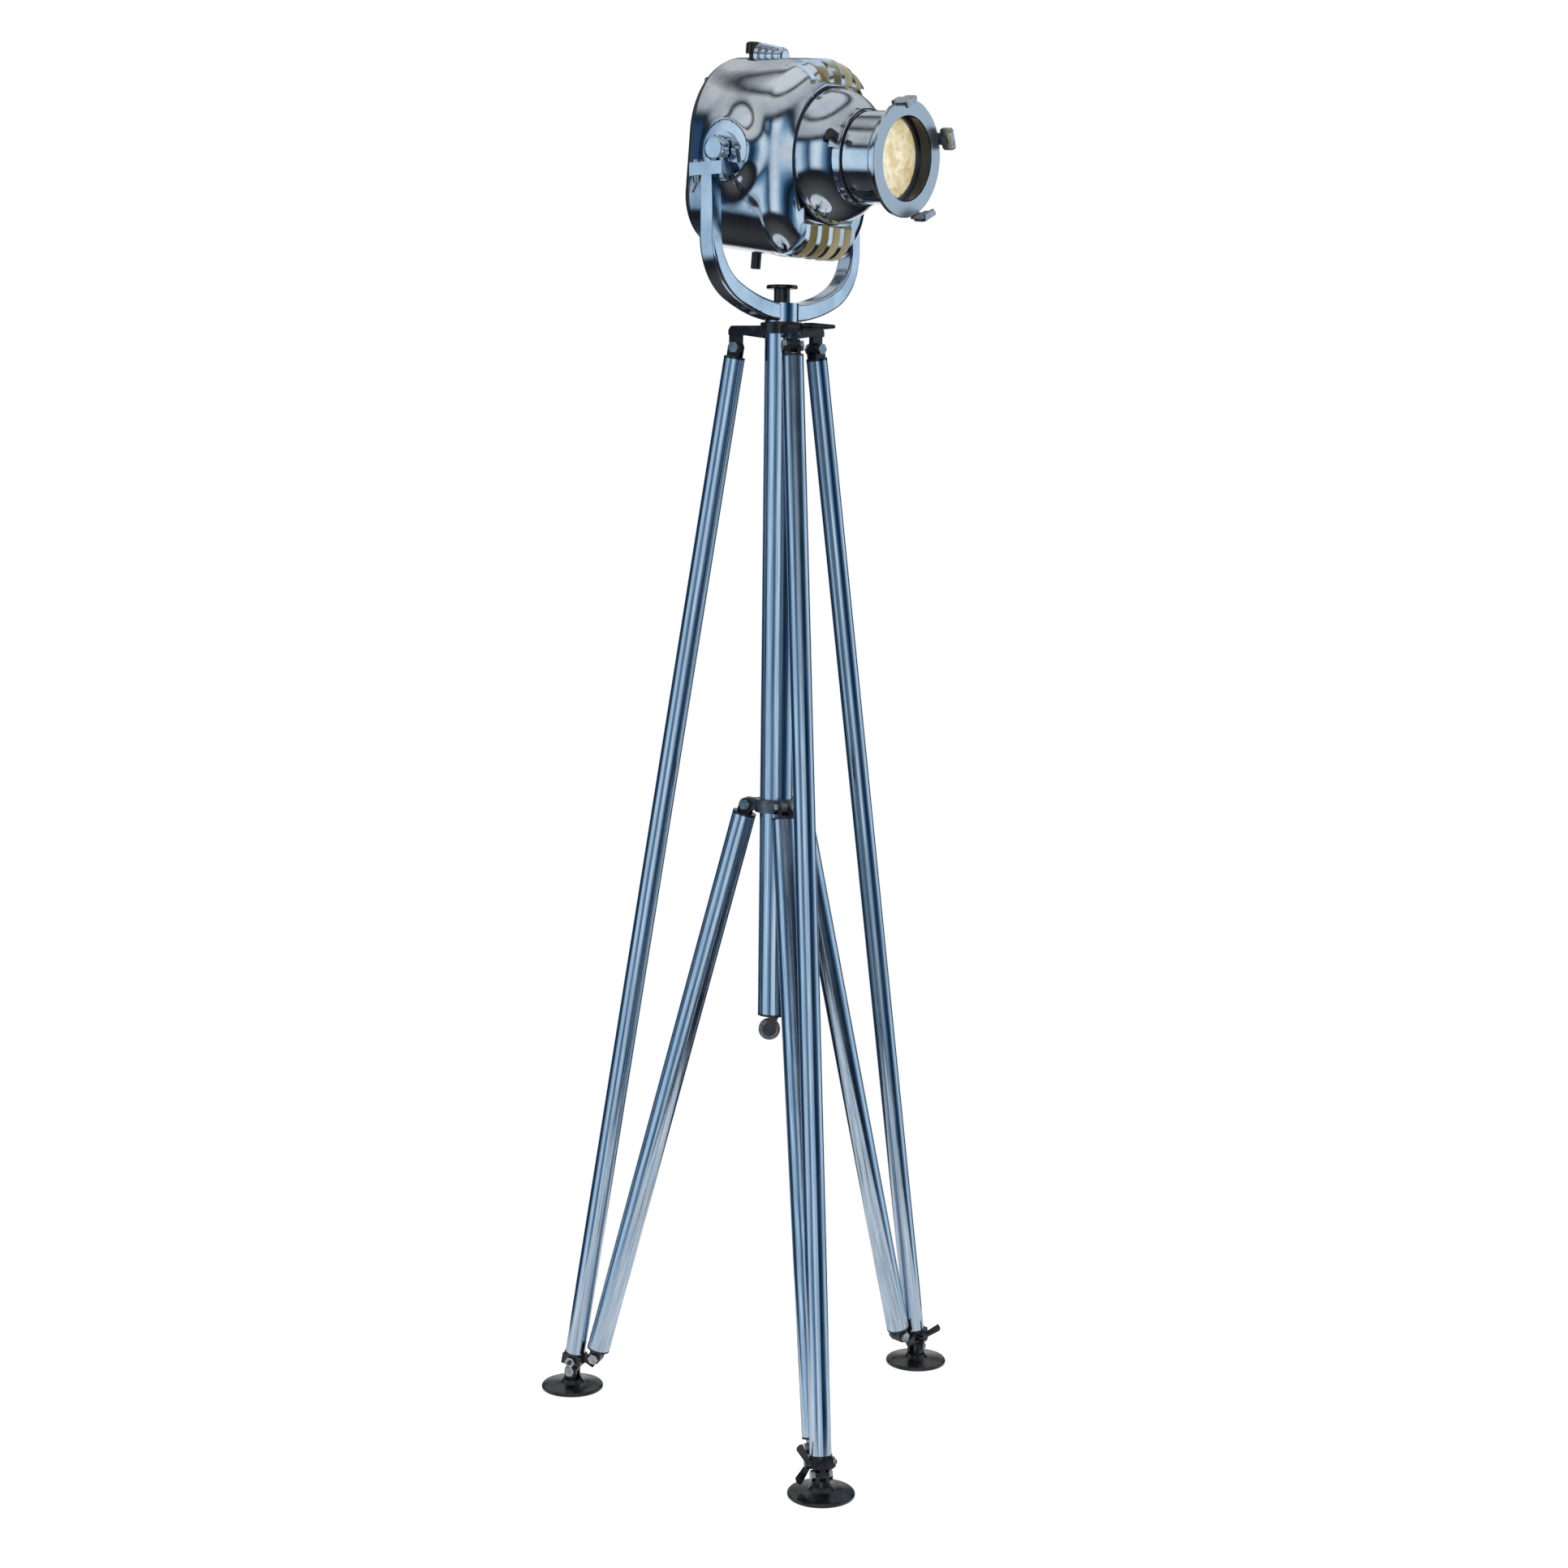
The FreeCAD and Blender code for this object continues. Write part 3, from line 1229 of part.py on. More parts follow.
def build_lamp_house():
    """Cast housing: an arched block and a round barrel run into each other, with a
    boss on each side and open vents between ribs on both front shoulders."""
    outside = fuse("house_outside", [
        loaf("house_block", "0", "-house_rear", "house_front", "house_round", "front"),
        barrel("house_barrel", "0"),
    ])
    bosses = []
    for side, sign in (("left", -1), ("right", 1)):
        boss = doc.addObject("Part::Cone", f"house_boss_{side}")
        boss.setExpression("Radius1", cells("boss_root_radius"))
        boss.setExpression("Radius2", cells("boss_face_radius"))
        boss.setExpression("Height", cells("boss_face - house_half_width + 10"))
        boss.Placement = at(y=sign * value("house_half_width - 10"), axis=X_AXIS,
                            angle=-90 * sign)
        bosses.append(boss)
    rib_form = loaf("rib_form", "0", "0", "house_front + rib_proud", "rib_round", "front")
    ribs = []
    gaps = []
    roof_low = "lens_rise + neck_radius + vent_margin"
    floor_high = "lens_rise - neck_radius - vent_margin"
    for label, low, high in (("roof", roof_low, "house_half_height + 10"),
                             ("floor", "-house_half_height - 10", floor_high)):
        ribs += vent_slabs(f"{label}_rib", "vent_rib", "vent_count + 1", "vent_start - 10",
                           "house_front", low, high)
        gaps += vent_slabs(f"{label}_gap", "vent_pitch - vent_rib", "vent_count",
                           "vent_start", "house_front", low, high)
    rib_blanks = fuse("rib_blanks", ribs)
    rib_bars = common("rib_bars", [rib_blanks, rib_form])
    solid = fuse("house_solid", [outside, rib_bars] + bosses)

    inside = fuse("house_inside", [
        loaf("house_cavity", "house_wall", "-house_rear - 10", "house_front - house_wall",
             "house_round - house_wall", "front"),
        barrel("barrel_cavity", "house_wall"),
    ])
    openings = [inside] + gaps
    openings.append(cylinder("neck_opening", "neck_bore", "house_front",
                             at(x=value("house_front / 2"), z=value("lens_rise"),
                                axis=Y_AXIS, angle=90)))
    for side, sign in (("left", -1), ("right", 1)):
        openings.append(cylinder(f"stud_hole_{side}", "stud_diameter / 2 + fit_gap",
                                 "2 * stud_depth",
                                 at(y=sign * value("boss_face - stud_depth"), axis=X_AXIS,
                                    angle=-90 * sign)))
    openings.append(cylinder("roof_screw_hole", "roof_screw_diameter / 2 + fit_gap",
                             "house_half_height", at(-value("roof_knob_place"))))
    openings.append(cylinder("gland_hole", "gland_neck_diameter / 2 + fit_gap",
                             "house_half_height",
                             at(-value("gland_place"), 0, -value("house_half_height + 5"))))
    cutters = fuse("house_openings", openings)
    keep(cut("lamp_house", solid, cutters), "lamp_house", HEAD)


def build_tilt_studs():
    studs = []
    washers = []
    for side, sign in (("left", -1), ("right", 1)):
        turn = at(axis=X_AXIS, angle=-90 * sign)
        studs.append(cylinder(f"tilt_stud_{side}", "stud_diameter / 2",
                              "washer_thickness + eye_thickness + 2 * stud_depth",
                              at(y=sign * value("boss_face - stud_depth")) * turn))
        disc = cylinder(f"washer_disc_{side}", "washer_radius", "washer_thickness",
                        at(y=sign * value("boss_face")) * turn)
        hole = cylinder(f"washer_hole_{side}", "stud_diameter / 2 + face_gap",
                        "washer_thickness", at(y=sign * value("boss_face")) * turn)
        washers.append(cut(f"tilt_washer_{side}", disc, hole))
    keep(group("tilt_studs", studs), "tilt_studs", HEAD)
    keep(group("tilt_washers", washers), "tilt_washers", HEAD)


def build_rear_cover():
    """Deep lid that closes the back of the housing, with a tab for the roof screw."""
    shell = loaf("cover_block", "cover_inset", "-cover_back", "-house_rear", "cover_round",
                 "rear")
    hollow = loaf("cover_cavity", "cover_inset + cover_wall", "-cover_back + cover_wall",
                  "-house_rear + 1", "cover_round - cover_wall", "rear")
    lid = cut("cover_lid", shell, hollow)
    roof = "house_offset + sqrt((house_half_width - house_wall) ^ 2 - cover_tab_width ^ 2 / 4)"
    tab = box("cover_tab", "cover_tab_length + cover_depth / 2", "cover_tab_width",
              "cover_wall",
              at(-value("house_rear + cover_depth / 2"), -value("cover_tab_width / 2"),
                 value(f"{roof} - cover_wall - 0.5 * cover_wall")))
    web = box("cover_web", "cover_wall", "cover_tab_width", "2 * cover_wall",
              at(-value("house_rear + cover_depth / 2"), -value("cover_tab_width / 2"),
                 value(f"{roof} - cover_wall - 0.5 * cover_wall")))
    hole = cylinder("cover_tab_hole", "roof_screw_diameter / 2 + fit_gap",
                    "house_half_height", at(-value("roof_knob_place")))
    keep(cut("rear_cover", fuse("cover_with_tab", [lid, tab, web]), hole), "rear_cover", HEAD)


def build_roof():
    """Finned cap and lobed screw on the top of the housing."""
    cap = new_body("roof_cap_turned")
    back = "roof_cap_front - roof_block_length - roof_fin_count * (roof_fin_length" \
           " + roof_fin_gap)"
    corners = [(back, "0")]
    for index in range(round(value("roof_fin_count"))):
        start = f"{back} + {index} * (roof_fin_length + roof_fin_gap)"
        crest = f"roof_cap_radius - {index} * roof_fin_step"
        corners.append((start, crest))
        corners.append((f"{start} + roof_fin_length", crest))
        corners.append((f"{start} + roof_fin_length", f"{crest} - roof_fin_depth"))
        corners.append((f"{start} + roof_fin_length + roof_fin_gap",
                        f"{crest} - roof_fin_depth"))
    crest = "roof_cap_radius - roof_fin_count * roof_fin_step"
    corners.append(("roof_cap_front - roof_block_length", crest))
    corners.append(("roof_cap_front - roof_block_length / 2", crest))
    corners.append(("roof_cap_front", f"{crest} - roof_block_length / 2",
                    "roof_block_length / 2", "right"))
    corners.append(("roof_cap_front", "0"))
    turned_about_x(cap, corners)
    cap.Placement = at(z=value("house_half_height + roof_cap_sink"))
    saddle = loaf("roof_saddle", "0", "-house_rear", "house_front", "house_round", "front")
    seated = cut("roof_cap_seated", cap, saddle)
    keep(seated, "roof_cap", HEAD)

    knob = lobed_knob("roof_knob", "roof_knob_radius", "roof_knob_thickness + roof_knob_neck",
                      "roof_knob_neck", "roof_screw_diameter / 2 - 1", "1")
    screw = cylinder("roof_screw", "roof_screw_diameter / 2", "house_wall + 4 * cover_wall",
                     at(z=-value("house_wall + 4 * cover_wall - 2")))
    keep(fuse("roof_screw_knob", [knob, screw]), "roof_screw_knob", HEAD * at(
        -value("roof_knob_place"), 0, value("house_half_height + face_gap")))


def build_gland():
    """Cord entry under the housing; no cord is shown."""
    post = new_body("gland_post")
    turned_about_z(post, [
        ("gland_bore / 2", "-house_half_height - gland_length"),
        ("gland_diameter / 2 - 1", "-house_half_height - gland_length"),
        ("gland_diameter / 2", "-house_half_height - gland_length + 1"),
        ("gland_diameter / 2", "-house_half_height + floor_rise + 1"),
        ("gland_bore / 2", "-house_half_height + floor_rise + 1"),
    ])
    post.Placement = at(-value("gland_place"))
    seat = loaf("gland_seat", "0", "-house_rear", "house_front", "house_round", "front")
    neck = new_body("gland_neck")
    turned_about_z(neck, [
        ("gland_bore / 2", "-house_half_height - 1"),
        ("gland_neck_diameter / 2", "-house_half_height - 1"),
        ("gland_neck_diameter / 2", "-house_half_height + floor_rise + house_wall"),
        ("gland_bore / 2", "-house_half_height + floor_rise + house_wall"),
    ])
    neck.Placement = at(-value("gland_place"))
    keep(fuse("cord_gland", [cut("gland_seated", post, seat), neck]), "cord_gland", HEAD)


def build_lamp():
    """Lamp holder on the floor of the housing, the lamp in it, and the reflector that
    the rear cover carries."""
    place = at(-value("gland_place"), 0, -value("holder_base"))
    holder = new_body("holder_turned")
    turned_about_z(holder, [
        ("0", "0"),
        ("holder_radius", "0"),
        ("holder_radius", "holder_height * 0.6"),
        ("holder_radius * 0.85", "holder_height * 0.7"),
        ("holder_radius * 0.85", "holder_height"),
        ("bulb_cap_radius + face_gap", "holder_height"),
        ("bulb_cap_radius + face_gap", "holder_height - bulb_cap_length - face_gap"),
        ("0", "holder_height - bulb_cap_length - face_gap"),
    ])
    holder.Placement = place
    floor = loaf("holder_floor", "house_wall + fit_gap", "-house_rear",
                 "house_front - house_wall", "house_round - house_wall", "front")
    entry = cylinder("holder_entry", "gland_neck_diameter / 2 + 1",
                     "2 * house_wall + floor_rise", place * at(z=-value("house_wall")))
    keep(cut("lamp_holder", common("holder_seated", [holder, floor]), entry), "lamp_holder",
         HEAD)

    bulb = new_body("bulb")
    turned_about_z(bulb, [
        ("0", "-bulb_cap_length"),
        ("bulb_cap_radius * 0.6", "-bulb_cap_length"),
        ("bulb_cap_radius", "-bulb_cap_length * 0.7"),
        ("bulb_cap_radius", "0"),
        ("bulb_radius", "bulb_rise", "bulb_radius * 2.4", "left"),
        ("0", "bulb_rise + bulb_radius", "bulb_radius", "left"),
        ("0", "bulb_rise + bulb_radius - bulb_wall"),
        ("bulb_radius - bulb_wall", "bulb_rise", "bulb_radius - bulb_wall", "right"),
        ("bulb_cap_radius - bulb_wall", "bulb_wall", "bulb_radius * 2.4", "right"),
        ("0", "bulb_wall"),
    ])
    keep(bulb, "bulb", HEAD * place * at(z=value("holder_height + face_gap")))

    dish = new_body("reflector")
    arc = "(reflector_radius ^ 2 + reflector_depth ^ 2) / (2 * reflector_depth)"
    apex = "-cover_back + cover_wall + 5"
    turned_about_x(dish, [
        (f"{apex} - 5", "0"),
        (f"{apex} - 5", "reflector_stem_radius"),
        (f"{apex} + 1", "reflector_stem_radius"),
        (f"{apex} + reflector_depth", "reflector_radius", arc, "right"),
        (f"{apex} + reflector_depth + reflector_wall", "reflector_radius"),
        (f"{apex} + reflector_wall", "0", arc, "left"),
    ])
    keep(dish, "reflector", LENS)


# --------------------------------------------------------- nose and lens tube

def build_nose():
    """Bell-shaped casting in front of the neck that guides the lens tube."""
    nose = new_body("nose_turned")
    turned_about_x(nose, [
        ("neck_face", "neck_bore"),
        ("neck_face", "neck_radius - seam_bevel"),
        ("neck_face + seam_bevel", "neck_radius"),
        ("neck_face + nose_rim", "neck_radius"),
        ("nose_end - nose_end_length", "nose_end_radius", "nose_arc", "right"),
        ("nose_end - 1", "nose_end_radius"),
        ("nose_end", "nose_end_radius - 1"),
        ("nose_end", "lens_tube_radius + slide_gap"),
        ("nose_end - 1.5 * nose_end_length", "lens_tube_radius + slide_gap"),
        ("neck_face + nose_rim", "neck_bore"),
    ])
    lug_place = at(axis=X_AXIS, angle=value("focus_angle")) * at(
        value("focus_place - focus_lug_width / 2"), -value("focus_lug_length / 2"),
        value("nose_end_radius - 2"))
    lug = box("nose_lug", "focus_lug_width", "focus_lug_length", "focus_lug_height + 2",
              lug_place)
    hole = cylinder("focus_hole", "focus_knob_radius / 2 + fit_gap", "flange_radius",
                    at(axis=X_AXIS, angle=value("focus_angle")) * at(value("focus_place")))
    keep(cut("nose_casting", fuse("nose_with_lug", [nose, lug]), hole), "nose_casting", LENS)

    knob = new_body("focus_knob")
    turned_about_z(knob, [
        ("0", "lens_tube_radius + face_gap"),
        ("focus_knob_radius / 2", "lens_tube_radius + face_gap"),
        ("focus_knob_radius / 2", "nose_end_radius + focus_lug_height + face_gap"),
        ("focus_knob_radius", "nose_end_radius + focus_lug_height + face_gap"),
        ("focus_knob_radius", "nose_end_radius + focus_lug_height + focus_knob_length - 1"),
        ("focus_knob_radius - 1", "nose_end_radius + focus_lug_height + focus_knob_length"),
        ("0", "nose_end_radius + focus_lug_height + focus_knob_length"),
    ])
    keep(knob, "focus_knob", LENS * at(axis=X_AXIS, angle=value("focus_angle")) * at(
        value("focus_place")))


def build_lens_tube():
    """Sliding tube with its front flange, a groove, and the ledge that the lens
    rests on."""
    tube_body = new_body("lens_tube")
    bore = "lens_tube_radius - lens_tube_wall"
    turned_about_x(tube_body, [
        ("lens_tube_rear", bore),
        ("lens_tube_rear", "lens_tube_radius"),
        ("groove_place - groove_width / 2", "lens_tube_radius"),
        ("groove_place - groove_width / 2", "lens_tube_radius - groove_depth"),
        ("groove_place + groove_width / 2", "lens_tube_radius - groove_depth"),
        ("groove_place + groove_width / 2", "lens_tube_radius"),
        ("flange_back", "lens_tube_radius"),
        ("flange_back", "flange_radius"),
        ("flange_front - 1", "flange_radius"),
        ("flange_front", "flange_radius - 1"),
        ("flange_front", "flange_bore + 1"),
        ("flange_front - 1", "flange_bore"),
        ("flange_back", "flange_bore"),
        ("flange_back", "flange_bore + 2"),
        ("ledge_front", "flange_bore + 2"),
        ("ledge_front", "ledge_bore"),
        ("ledge_back", "ledge_bore"),
        ("ledge_back", bore),
    ])
    keep(tube_body, "lens_tube", LENS)

    lens = new_body("lens")
    turned_about_x(lens, [
        ("lens_back", "0"),
        ("lens_back", f"{bore} - fit_gap"),
        ("ledge_back", f"{bore} - fit_gap"),
        ("ledge_back", "ledge_bore - face_gap"),
        ("ledge_back + lens_crown", "0", "lens_arc", "right"),
    ])
    keep(lens, "lens", LENS)

    ring = new_body("lens_ring")
    turned_about_x(ring, [
        ("lens_back - lens_ring_width", "ledge_bore"),
        ("lens_back - lens_ring_width", f"{bore} - fit_gap"),
        ("lens_back", f"{bore} - fit_gap"),
        ("lens_back", "ledge_bore"),
    ])
    keep(ring, "lens_ring", LENS)


def build_clips():
    """Three clips on the rim of the flange that hold a colour frame; the fourth side
    is open."""
    clips = []
    for index in range(3):
        clip = new_body(f"clip_{index}")
        plate = sketch_on(clip, "XY_Plane", "flange_radius")
        outline(plate, [
            ("flange_back", "-clip_neck_width / 2"),
            ("flange_front + clip_neck_length - clip_corner", "-clip_neck_width / 2"),
            ("flange_front + clip_neck_length - clip_corner", "-clip_width / 2 + clip_corner"),
            ("flange_front + clip_neck_length", "-clip_width / 2", "clip_corner", "left"),
            ("flange_front + clip_neck_length + clip_pad_length - clip_corner",
             "-clip_width / 2"),
            ("flange_front + clip_neck_length + clip_pad_length",
             "-clip_width / 2 + clip_corner", "clip_corner", "left"),
            ("flange_front + clip_neck_length + clip_pad_length",
             "clip_width / 2 - clip_corner"),
            ("flange_front + clip_neck_length + clip_pad_length - clip_corner",
             "clip_width / 2", "clip_corner", "left"),
            ("flange_front + clip_neck_length", "clip_width / 2"),
            ("flange_front + clip_neck_length - clip_corner",
             "clip_width / 2 - clip_corner", "clip_corner", "left"),
            ("flange_front + clip_neck_length - clip_corner", "clip_neck_width / 2"),
            ("flange_back", "clip_neck_width / 2"),
        ])
        pad(clip, plate, "clip_thickness")
        lip = sketch_on(clip, "XY_Plane", "flange_radius - clip_lip")
        rectangle(lip, "flange_front + clip_neck_length + clip_pad_length - clip_thickness",
                  "-clip_width / 2 + clip_corner",
                  "flange_front + clip_neck_length + clip_pad_length",
                  "clip_width / 2 - clip_corner")
        pad(clip, lip, "clip_lip + clip_thickness / 2")
        clip.Placement = at(axis=X_AXIS, angle=value("clip_angle") - 90 * index)
        clips.append(clip)
    keep(group("frame_clips", clips), "frame_clips", LENS)


# -------------------------------------------------------------------- assembly

build_mast()
build_castor()
build_hub()
build_hub_lock()
build_collar()
for leg_side, leg_azimuth in LEGS.items():
    build_leg(leg_side, leg_azimuth)
    build_foot(leg_side, leg_azimuth)
    build_brace(leg_side, leg_azimuth)
build_yoke()
build_pan_knob()
build_trunnion("left", -1)
build_trunnion("right", 1)
build_trunnion_bolts()
build_lamp_house()
build_tilt_studs()
build_rear_cover()
build_roof()
build_gland()
build_lamp()
build_nose()
build_lens_tube()
build_clips()

doc.recompute()

failed = [item.Label for item in doc.Objects if "Invalid" in item.State or "Error" in item.State]
if failed:
    raise RuntimeError("not rebuilt: " + ", ".join(failed))
for node in NODES:
    if node.Shape.isNull() or not node.Shape.isValid() or not node.Shape.Solids:
        raise RuntimeError(node.Label + " has no valid solid")

for node in NODES:
    node.Shape.exportStep(f"parts/{node.Label}.step")

print(len(NODES), "pieces written")
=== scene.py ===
# %% [markdown]
# # A tripod spotlight in Blender
# The lamp was built as separate pieces in CAD, and this lesson dresses it: metal, enamel, glass,
# rubber, and the small turned details that a CAD model leaves plain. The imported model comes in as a
# fixed frame, so nothing here moves or reshapes it. Every length is in metres.

# %% Load the frame
import json
import math

import bmesh
import bpy
from mathutils import Matrix, Vector
from mathutils.bvhtree import BVHTree


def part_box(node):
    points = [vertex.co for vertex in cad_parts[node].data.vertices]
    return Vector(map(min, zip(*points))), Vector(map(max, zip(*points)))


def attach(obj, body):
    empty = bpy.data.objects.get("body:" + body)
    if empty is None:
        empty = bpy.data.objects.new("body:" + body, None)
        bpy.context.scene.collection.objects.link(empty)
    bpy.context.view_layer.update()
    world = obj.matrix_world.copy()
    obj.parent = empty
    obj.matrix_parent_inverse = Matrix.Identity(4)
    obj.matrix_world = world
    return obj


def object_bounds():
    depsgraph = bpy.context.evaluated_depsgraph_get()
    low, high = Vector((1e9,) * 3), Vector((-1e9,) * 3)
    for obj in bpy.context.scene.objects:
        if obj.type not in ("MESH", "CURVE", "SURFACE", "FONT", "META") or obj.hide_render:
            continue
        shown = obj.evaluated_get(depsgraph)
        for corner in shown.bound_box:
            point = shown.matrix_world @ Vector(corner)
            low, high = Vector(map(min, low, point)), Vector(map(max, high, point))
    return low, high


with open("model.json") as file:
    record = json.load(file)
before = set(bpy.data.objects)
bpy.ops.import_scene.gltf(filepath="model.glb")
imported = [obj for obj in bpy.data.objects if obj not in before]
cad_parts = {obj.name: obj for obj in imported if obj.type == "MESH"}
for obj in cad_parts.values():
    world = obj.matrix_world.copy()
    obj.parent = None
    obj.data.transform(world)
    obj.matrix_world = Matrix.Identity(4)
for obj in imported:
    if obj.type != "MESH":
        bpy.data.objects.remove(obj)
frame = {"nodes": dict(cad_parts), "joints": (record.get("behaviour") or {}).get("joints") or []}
cad_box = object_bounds()
nodes = frame["nodes"]
print("CAD nodes:", len(nodes))

# %% [markdown]
# Real sizes are easiest to think of in millimetres, and paint charts give colours as sRGB hex.
# These helpers turn both into what Blender wants: metres, and linear colour.

# %% Units and colours
MM = 0.001


def colour(hex_code):
    """A linear RGBA colour from an sRGB hex code."""
    channels = [int(hex_code[i:i + 2], 16) / 255 for i in (0, 2, 4)]
    linear = [c / 12.92 if c <= 0.04045 else ((c + 0.055) / 1.055) ** 2.4 for c in channels]
    return (*linear, 1.0)


def per_metre(millimetres):
    """The texture scale whose pattern repeats about every so many millimetres."""
    return 1 / (millimetres * MM)


print("a 5 mm grain has a texture scale of", per_metre(5))

# %% [markdown]
# Each joint in the record tells where a shaft, screw or pivot is. Reading places from there keeps
# this script fitted to the CAD model without copying numbers.

# %% Places from the joints
joints = {joint["name"]: joint for joint in frame["joints"]}


def joint_place(name):
    return Vector(joints[name]["pos_m"])


def joint_axis(name):
    return Vector(joints[name]["axis"]).normalized()


tilt_pivot = joint_place("tilt")
tilt_axis = joint_axis("tilt")
beam = joint_axis("lens_focus")
head_up = beam.cross(tilt_axis).normalized()
if head_up.z < 0:
    head_up = -head_up
print("the beam points along", [round(c, 3) for c in beam])

# %% [markdown]
# A material in Blender is a small graph of nodes. One helper adds a node with its settings and its
# links, so that each finish below reads as a list of what it is made of. Another starts a finish:
# it leaves only the surface shader, which is all that solid materials need. The Mix node keeps a
# set of sockets for each type of data under the same names, so its colours are reached by number.

# %% Node helpers
COLOUR_A, COLOUR_B = 6, 7
MIXED_VALUE, MIXED_COLOUR = 0, 2


def add_node(tree, kind, values=None, links=None, **attributes):
    """Adds a node, sets its attributes and socket values, and links sources to its sockets."""
    node = tree.nodes.new(kind)
    for key, setting in attributes.items():
        setattr(node, key, setting)
    for socket, value in (values or {}).items():
        node.inputs[socket].default_value = value
    for socket, source in (links or {}).items():
        tree.links.new(source, node.inputs[socket])
    return node


def start_finish(name):
    """Starts a material from its surface shader. Returns the material, its graph and the shader."""
    material = bpy.data.materials.new(name)
    material.use_nodes = True
    tree = material.node_tree
    tree.nodes.clear()
    shader = add_node(tree, "ShaderNodeBsdfPrincipled")
    add_node(tree, "ShaderNodeOutputMaterial", links={"Surface": shader.outputs["BSDF"]})
    return material, tree, shader


def connect_finish(tree, shader, tint, gloss, bump):
    """Links a finish's colour, roughness and relief to its shader."""
    tree.links.new(tint.outputs["Color"], shader.inputs["Base Color"])
    tree.links.new(gloss.outputs["Result"], shader.inputs["Roughness"])
    tree.links.new(bump.outputs["Normal"], shader.inputs["Normal"])


def set_ramp(ramp, stops):
    """Gives a colour ramp its stops, as pairs of place and colour."""
    elements = ramp.color_ramp.elements
    while len(elements) < len(stops):
        elements.new(1.0)
    for element, (place, stop_colour) in zip(elements, stops):
        element.position = place
        element.color = stop_colour


print("helpers ready")

# %% [markdown]
# Polished aluminium castings: the lamp house, nose, lens tube and yoke are sand-cast aluminium, cut
# back and buffed on a mop. Buffing leaves a mirror with a slight roll in it, so long reflections
# wobble, with faint cloudy patches where the oxide has started to grow. Aluminium is a bluish
# metal: the colour carries that, a broad noise clouds it, a second noise varies the roughness, and
# a shallow wide bump rolls the surface.

# %% Buffed cast aluminium
def buffed_aluminium(name, light, dark, mirror, dull, roll):
    material, tree, shader = start_finish(name)
    place = add_node(tree, "ShaderNodeTexCoord").outputs["Object"]
    clouds = add_node(tree, "ShaderNodeTexNoise",
                      {"Scale": per_metre(70), "Detail": 4.0, "Roughness": 0.6},
                      {"Vector": place})
    tint = add_node(tree, "ShaderNodeValToRGB", links={"Fac": clouds.outputs["Fac"]})
    set_ramp(tint, [(0.3, colour(dark)), (0.62, colour(light))])
    smears = add_node(tree, "ShaderNodeTexNoise",
                      {"Scale": per_metre(14), "Detail": 6.0, "Roughness": 0.65},
                      {"Vector": place})
    gloss = add_node(tree, "ShaderNodeMapRange",
                     {"From Min": 0.35, "From Max": 0.7, "To Min": mirror, "To Max": dull},
                     {"Value": smears.outputs["Fac"]})
    rolling = add_node(tree, "ShaderNodeTexNoise",
                       {"Scale": per_metre(45), "Detail": 1.5, "Roughness": 0.4},
                       {"Vector": place})
    roll_bump = add_node(tree, "ShaderNodeBump", {"Strength": 0.35, "Distance": roll * MM},
                         {"Height": rolling.outputs["Fac"]})
    pores = add_node(tree, "ShaderNodeTexNoise", {"Scale": per_metre(0.9), "Detail": 3.0},
                     {"Vector": place})
    pore_bump = add_node(tree, "ShaderNodeBump", {"Strength": 0.12, "Distance": 0.05 * MM},
                         {"Height": pores.outputs["Fac"], "Normal": roll_bump.outputs["Normal"]})
    shader.inputs["Metallic"].default_value = 1.0
    connect_finish(tree, shader, tint, gloss, pore_bump)
    return material, tree, shader, tint


cast_aluminium = buffed_aluminium("buffed_cast_aluminium", "D8E0E8", "A9B6C4", 0.05, 0.16, 1.2)[0]
yoke_aluminium = buffed_aluminium(
    "polished_forged_aluminium", "CBD8E4", "9DB0C4", 0.07, 0.2, 0.7)[0]
print("buffed aluminium:", cast_aluminium.name, yoke_aluminium.name)

# %% [markdown]
# The lens tube's front flange was faced on a lathe and left with the tool's fine rings, so it is a
# satin grey that spreads reflections, while the tube behind it is buffed. Its bore is coloured dark
# grey, a painted shade for the recess. Which way a surface faces, along the beam or towards the
# axis, tells the three apart.

# %% Lens tube: buffed outside, satin flange, painted shade in the bore
tube_metal, tube_tree, tube_shader, tube_tint = buffed_aluminium(
    "buffed_tube_satin_flange_painted_bore_shade", "D8E0E8", "A9B6C4", 0.05, 0.16, 0.5)
tube_place = add_node(tube_tree, "ShaderNodeTexCoord")
tube_gloss = tube_shader.inputs["Roughness"].links[0].from_socket
towards_front = add_node(tube_tree, "ShaderNodeVectorMath", {1: beam},
                         {0: tube_place.outputs["Normal"]},
                         operation="DOT_PRODUCT")
faced = add_node(tube_tree, "ShaderNodeMapRange", {"From Min": 0.9, "From Max": 0.97},
                 {"Value": towards_front.outputs["Value"]})
satin = add_node(tube_tree, "ShaderNodeMix", {"B": 0.36},
                 {"Factor": faced.outputs["Result"], "A": tube_gloss},
                 data_type="FLOAT")
from_axis = add_node(tube_tree, "ShaderNodeVectorMath", {1: tilt_pivot},
                     {0: tube_place.outputs["Object"]},
                     operation="SUBTRACT")
outward = add_node(tube_tree, "ShaderNodeVectorMath",
                   links={0: tube_place.outputs["Normal"], 1: from_axis.outputs["Vector"]},
                   operation="DOT_PRODUCT")
along_part = add_node(tube_tree, "ShaderNodeVectorMath", {1: beam},
                      {0: from_axis.outputs["Vector"]},
                      operation="DOT_PRODUCT")
beam_part = add_node(tube_tree, "ShaderNodeMath",
                     links={0: along_part.outputs["Value"], 1: towards_front.outputs["Value"]},
                     operation="MULTIPLY")
radial_part = add_node(tube_tree, "ShaderNodeMath",
                       links={0: outward.outputs["Value"], 1: beam_part.outputs["Value"]},
                       operation="SUBTRACT")
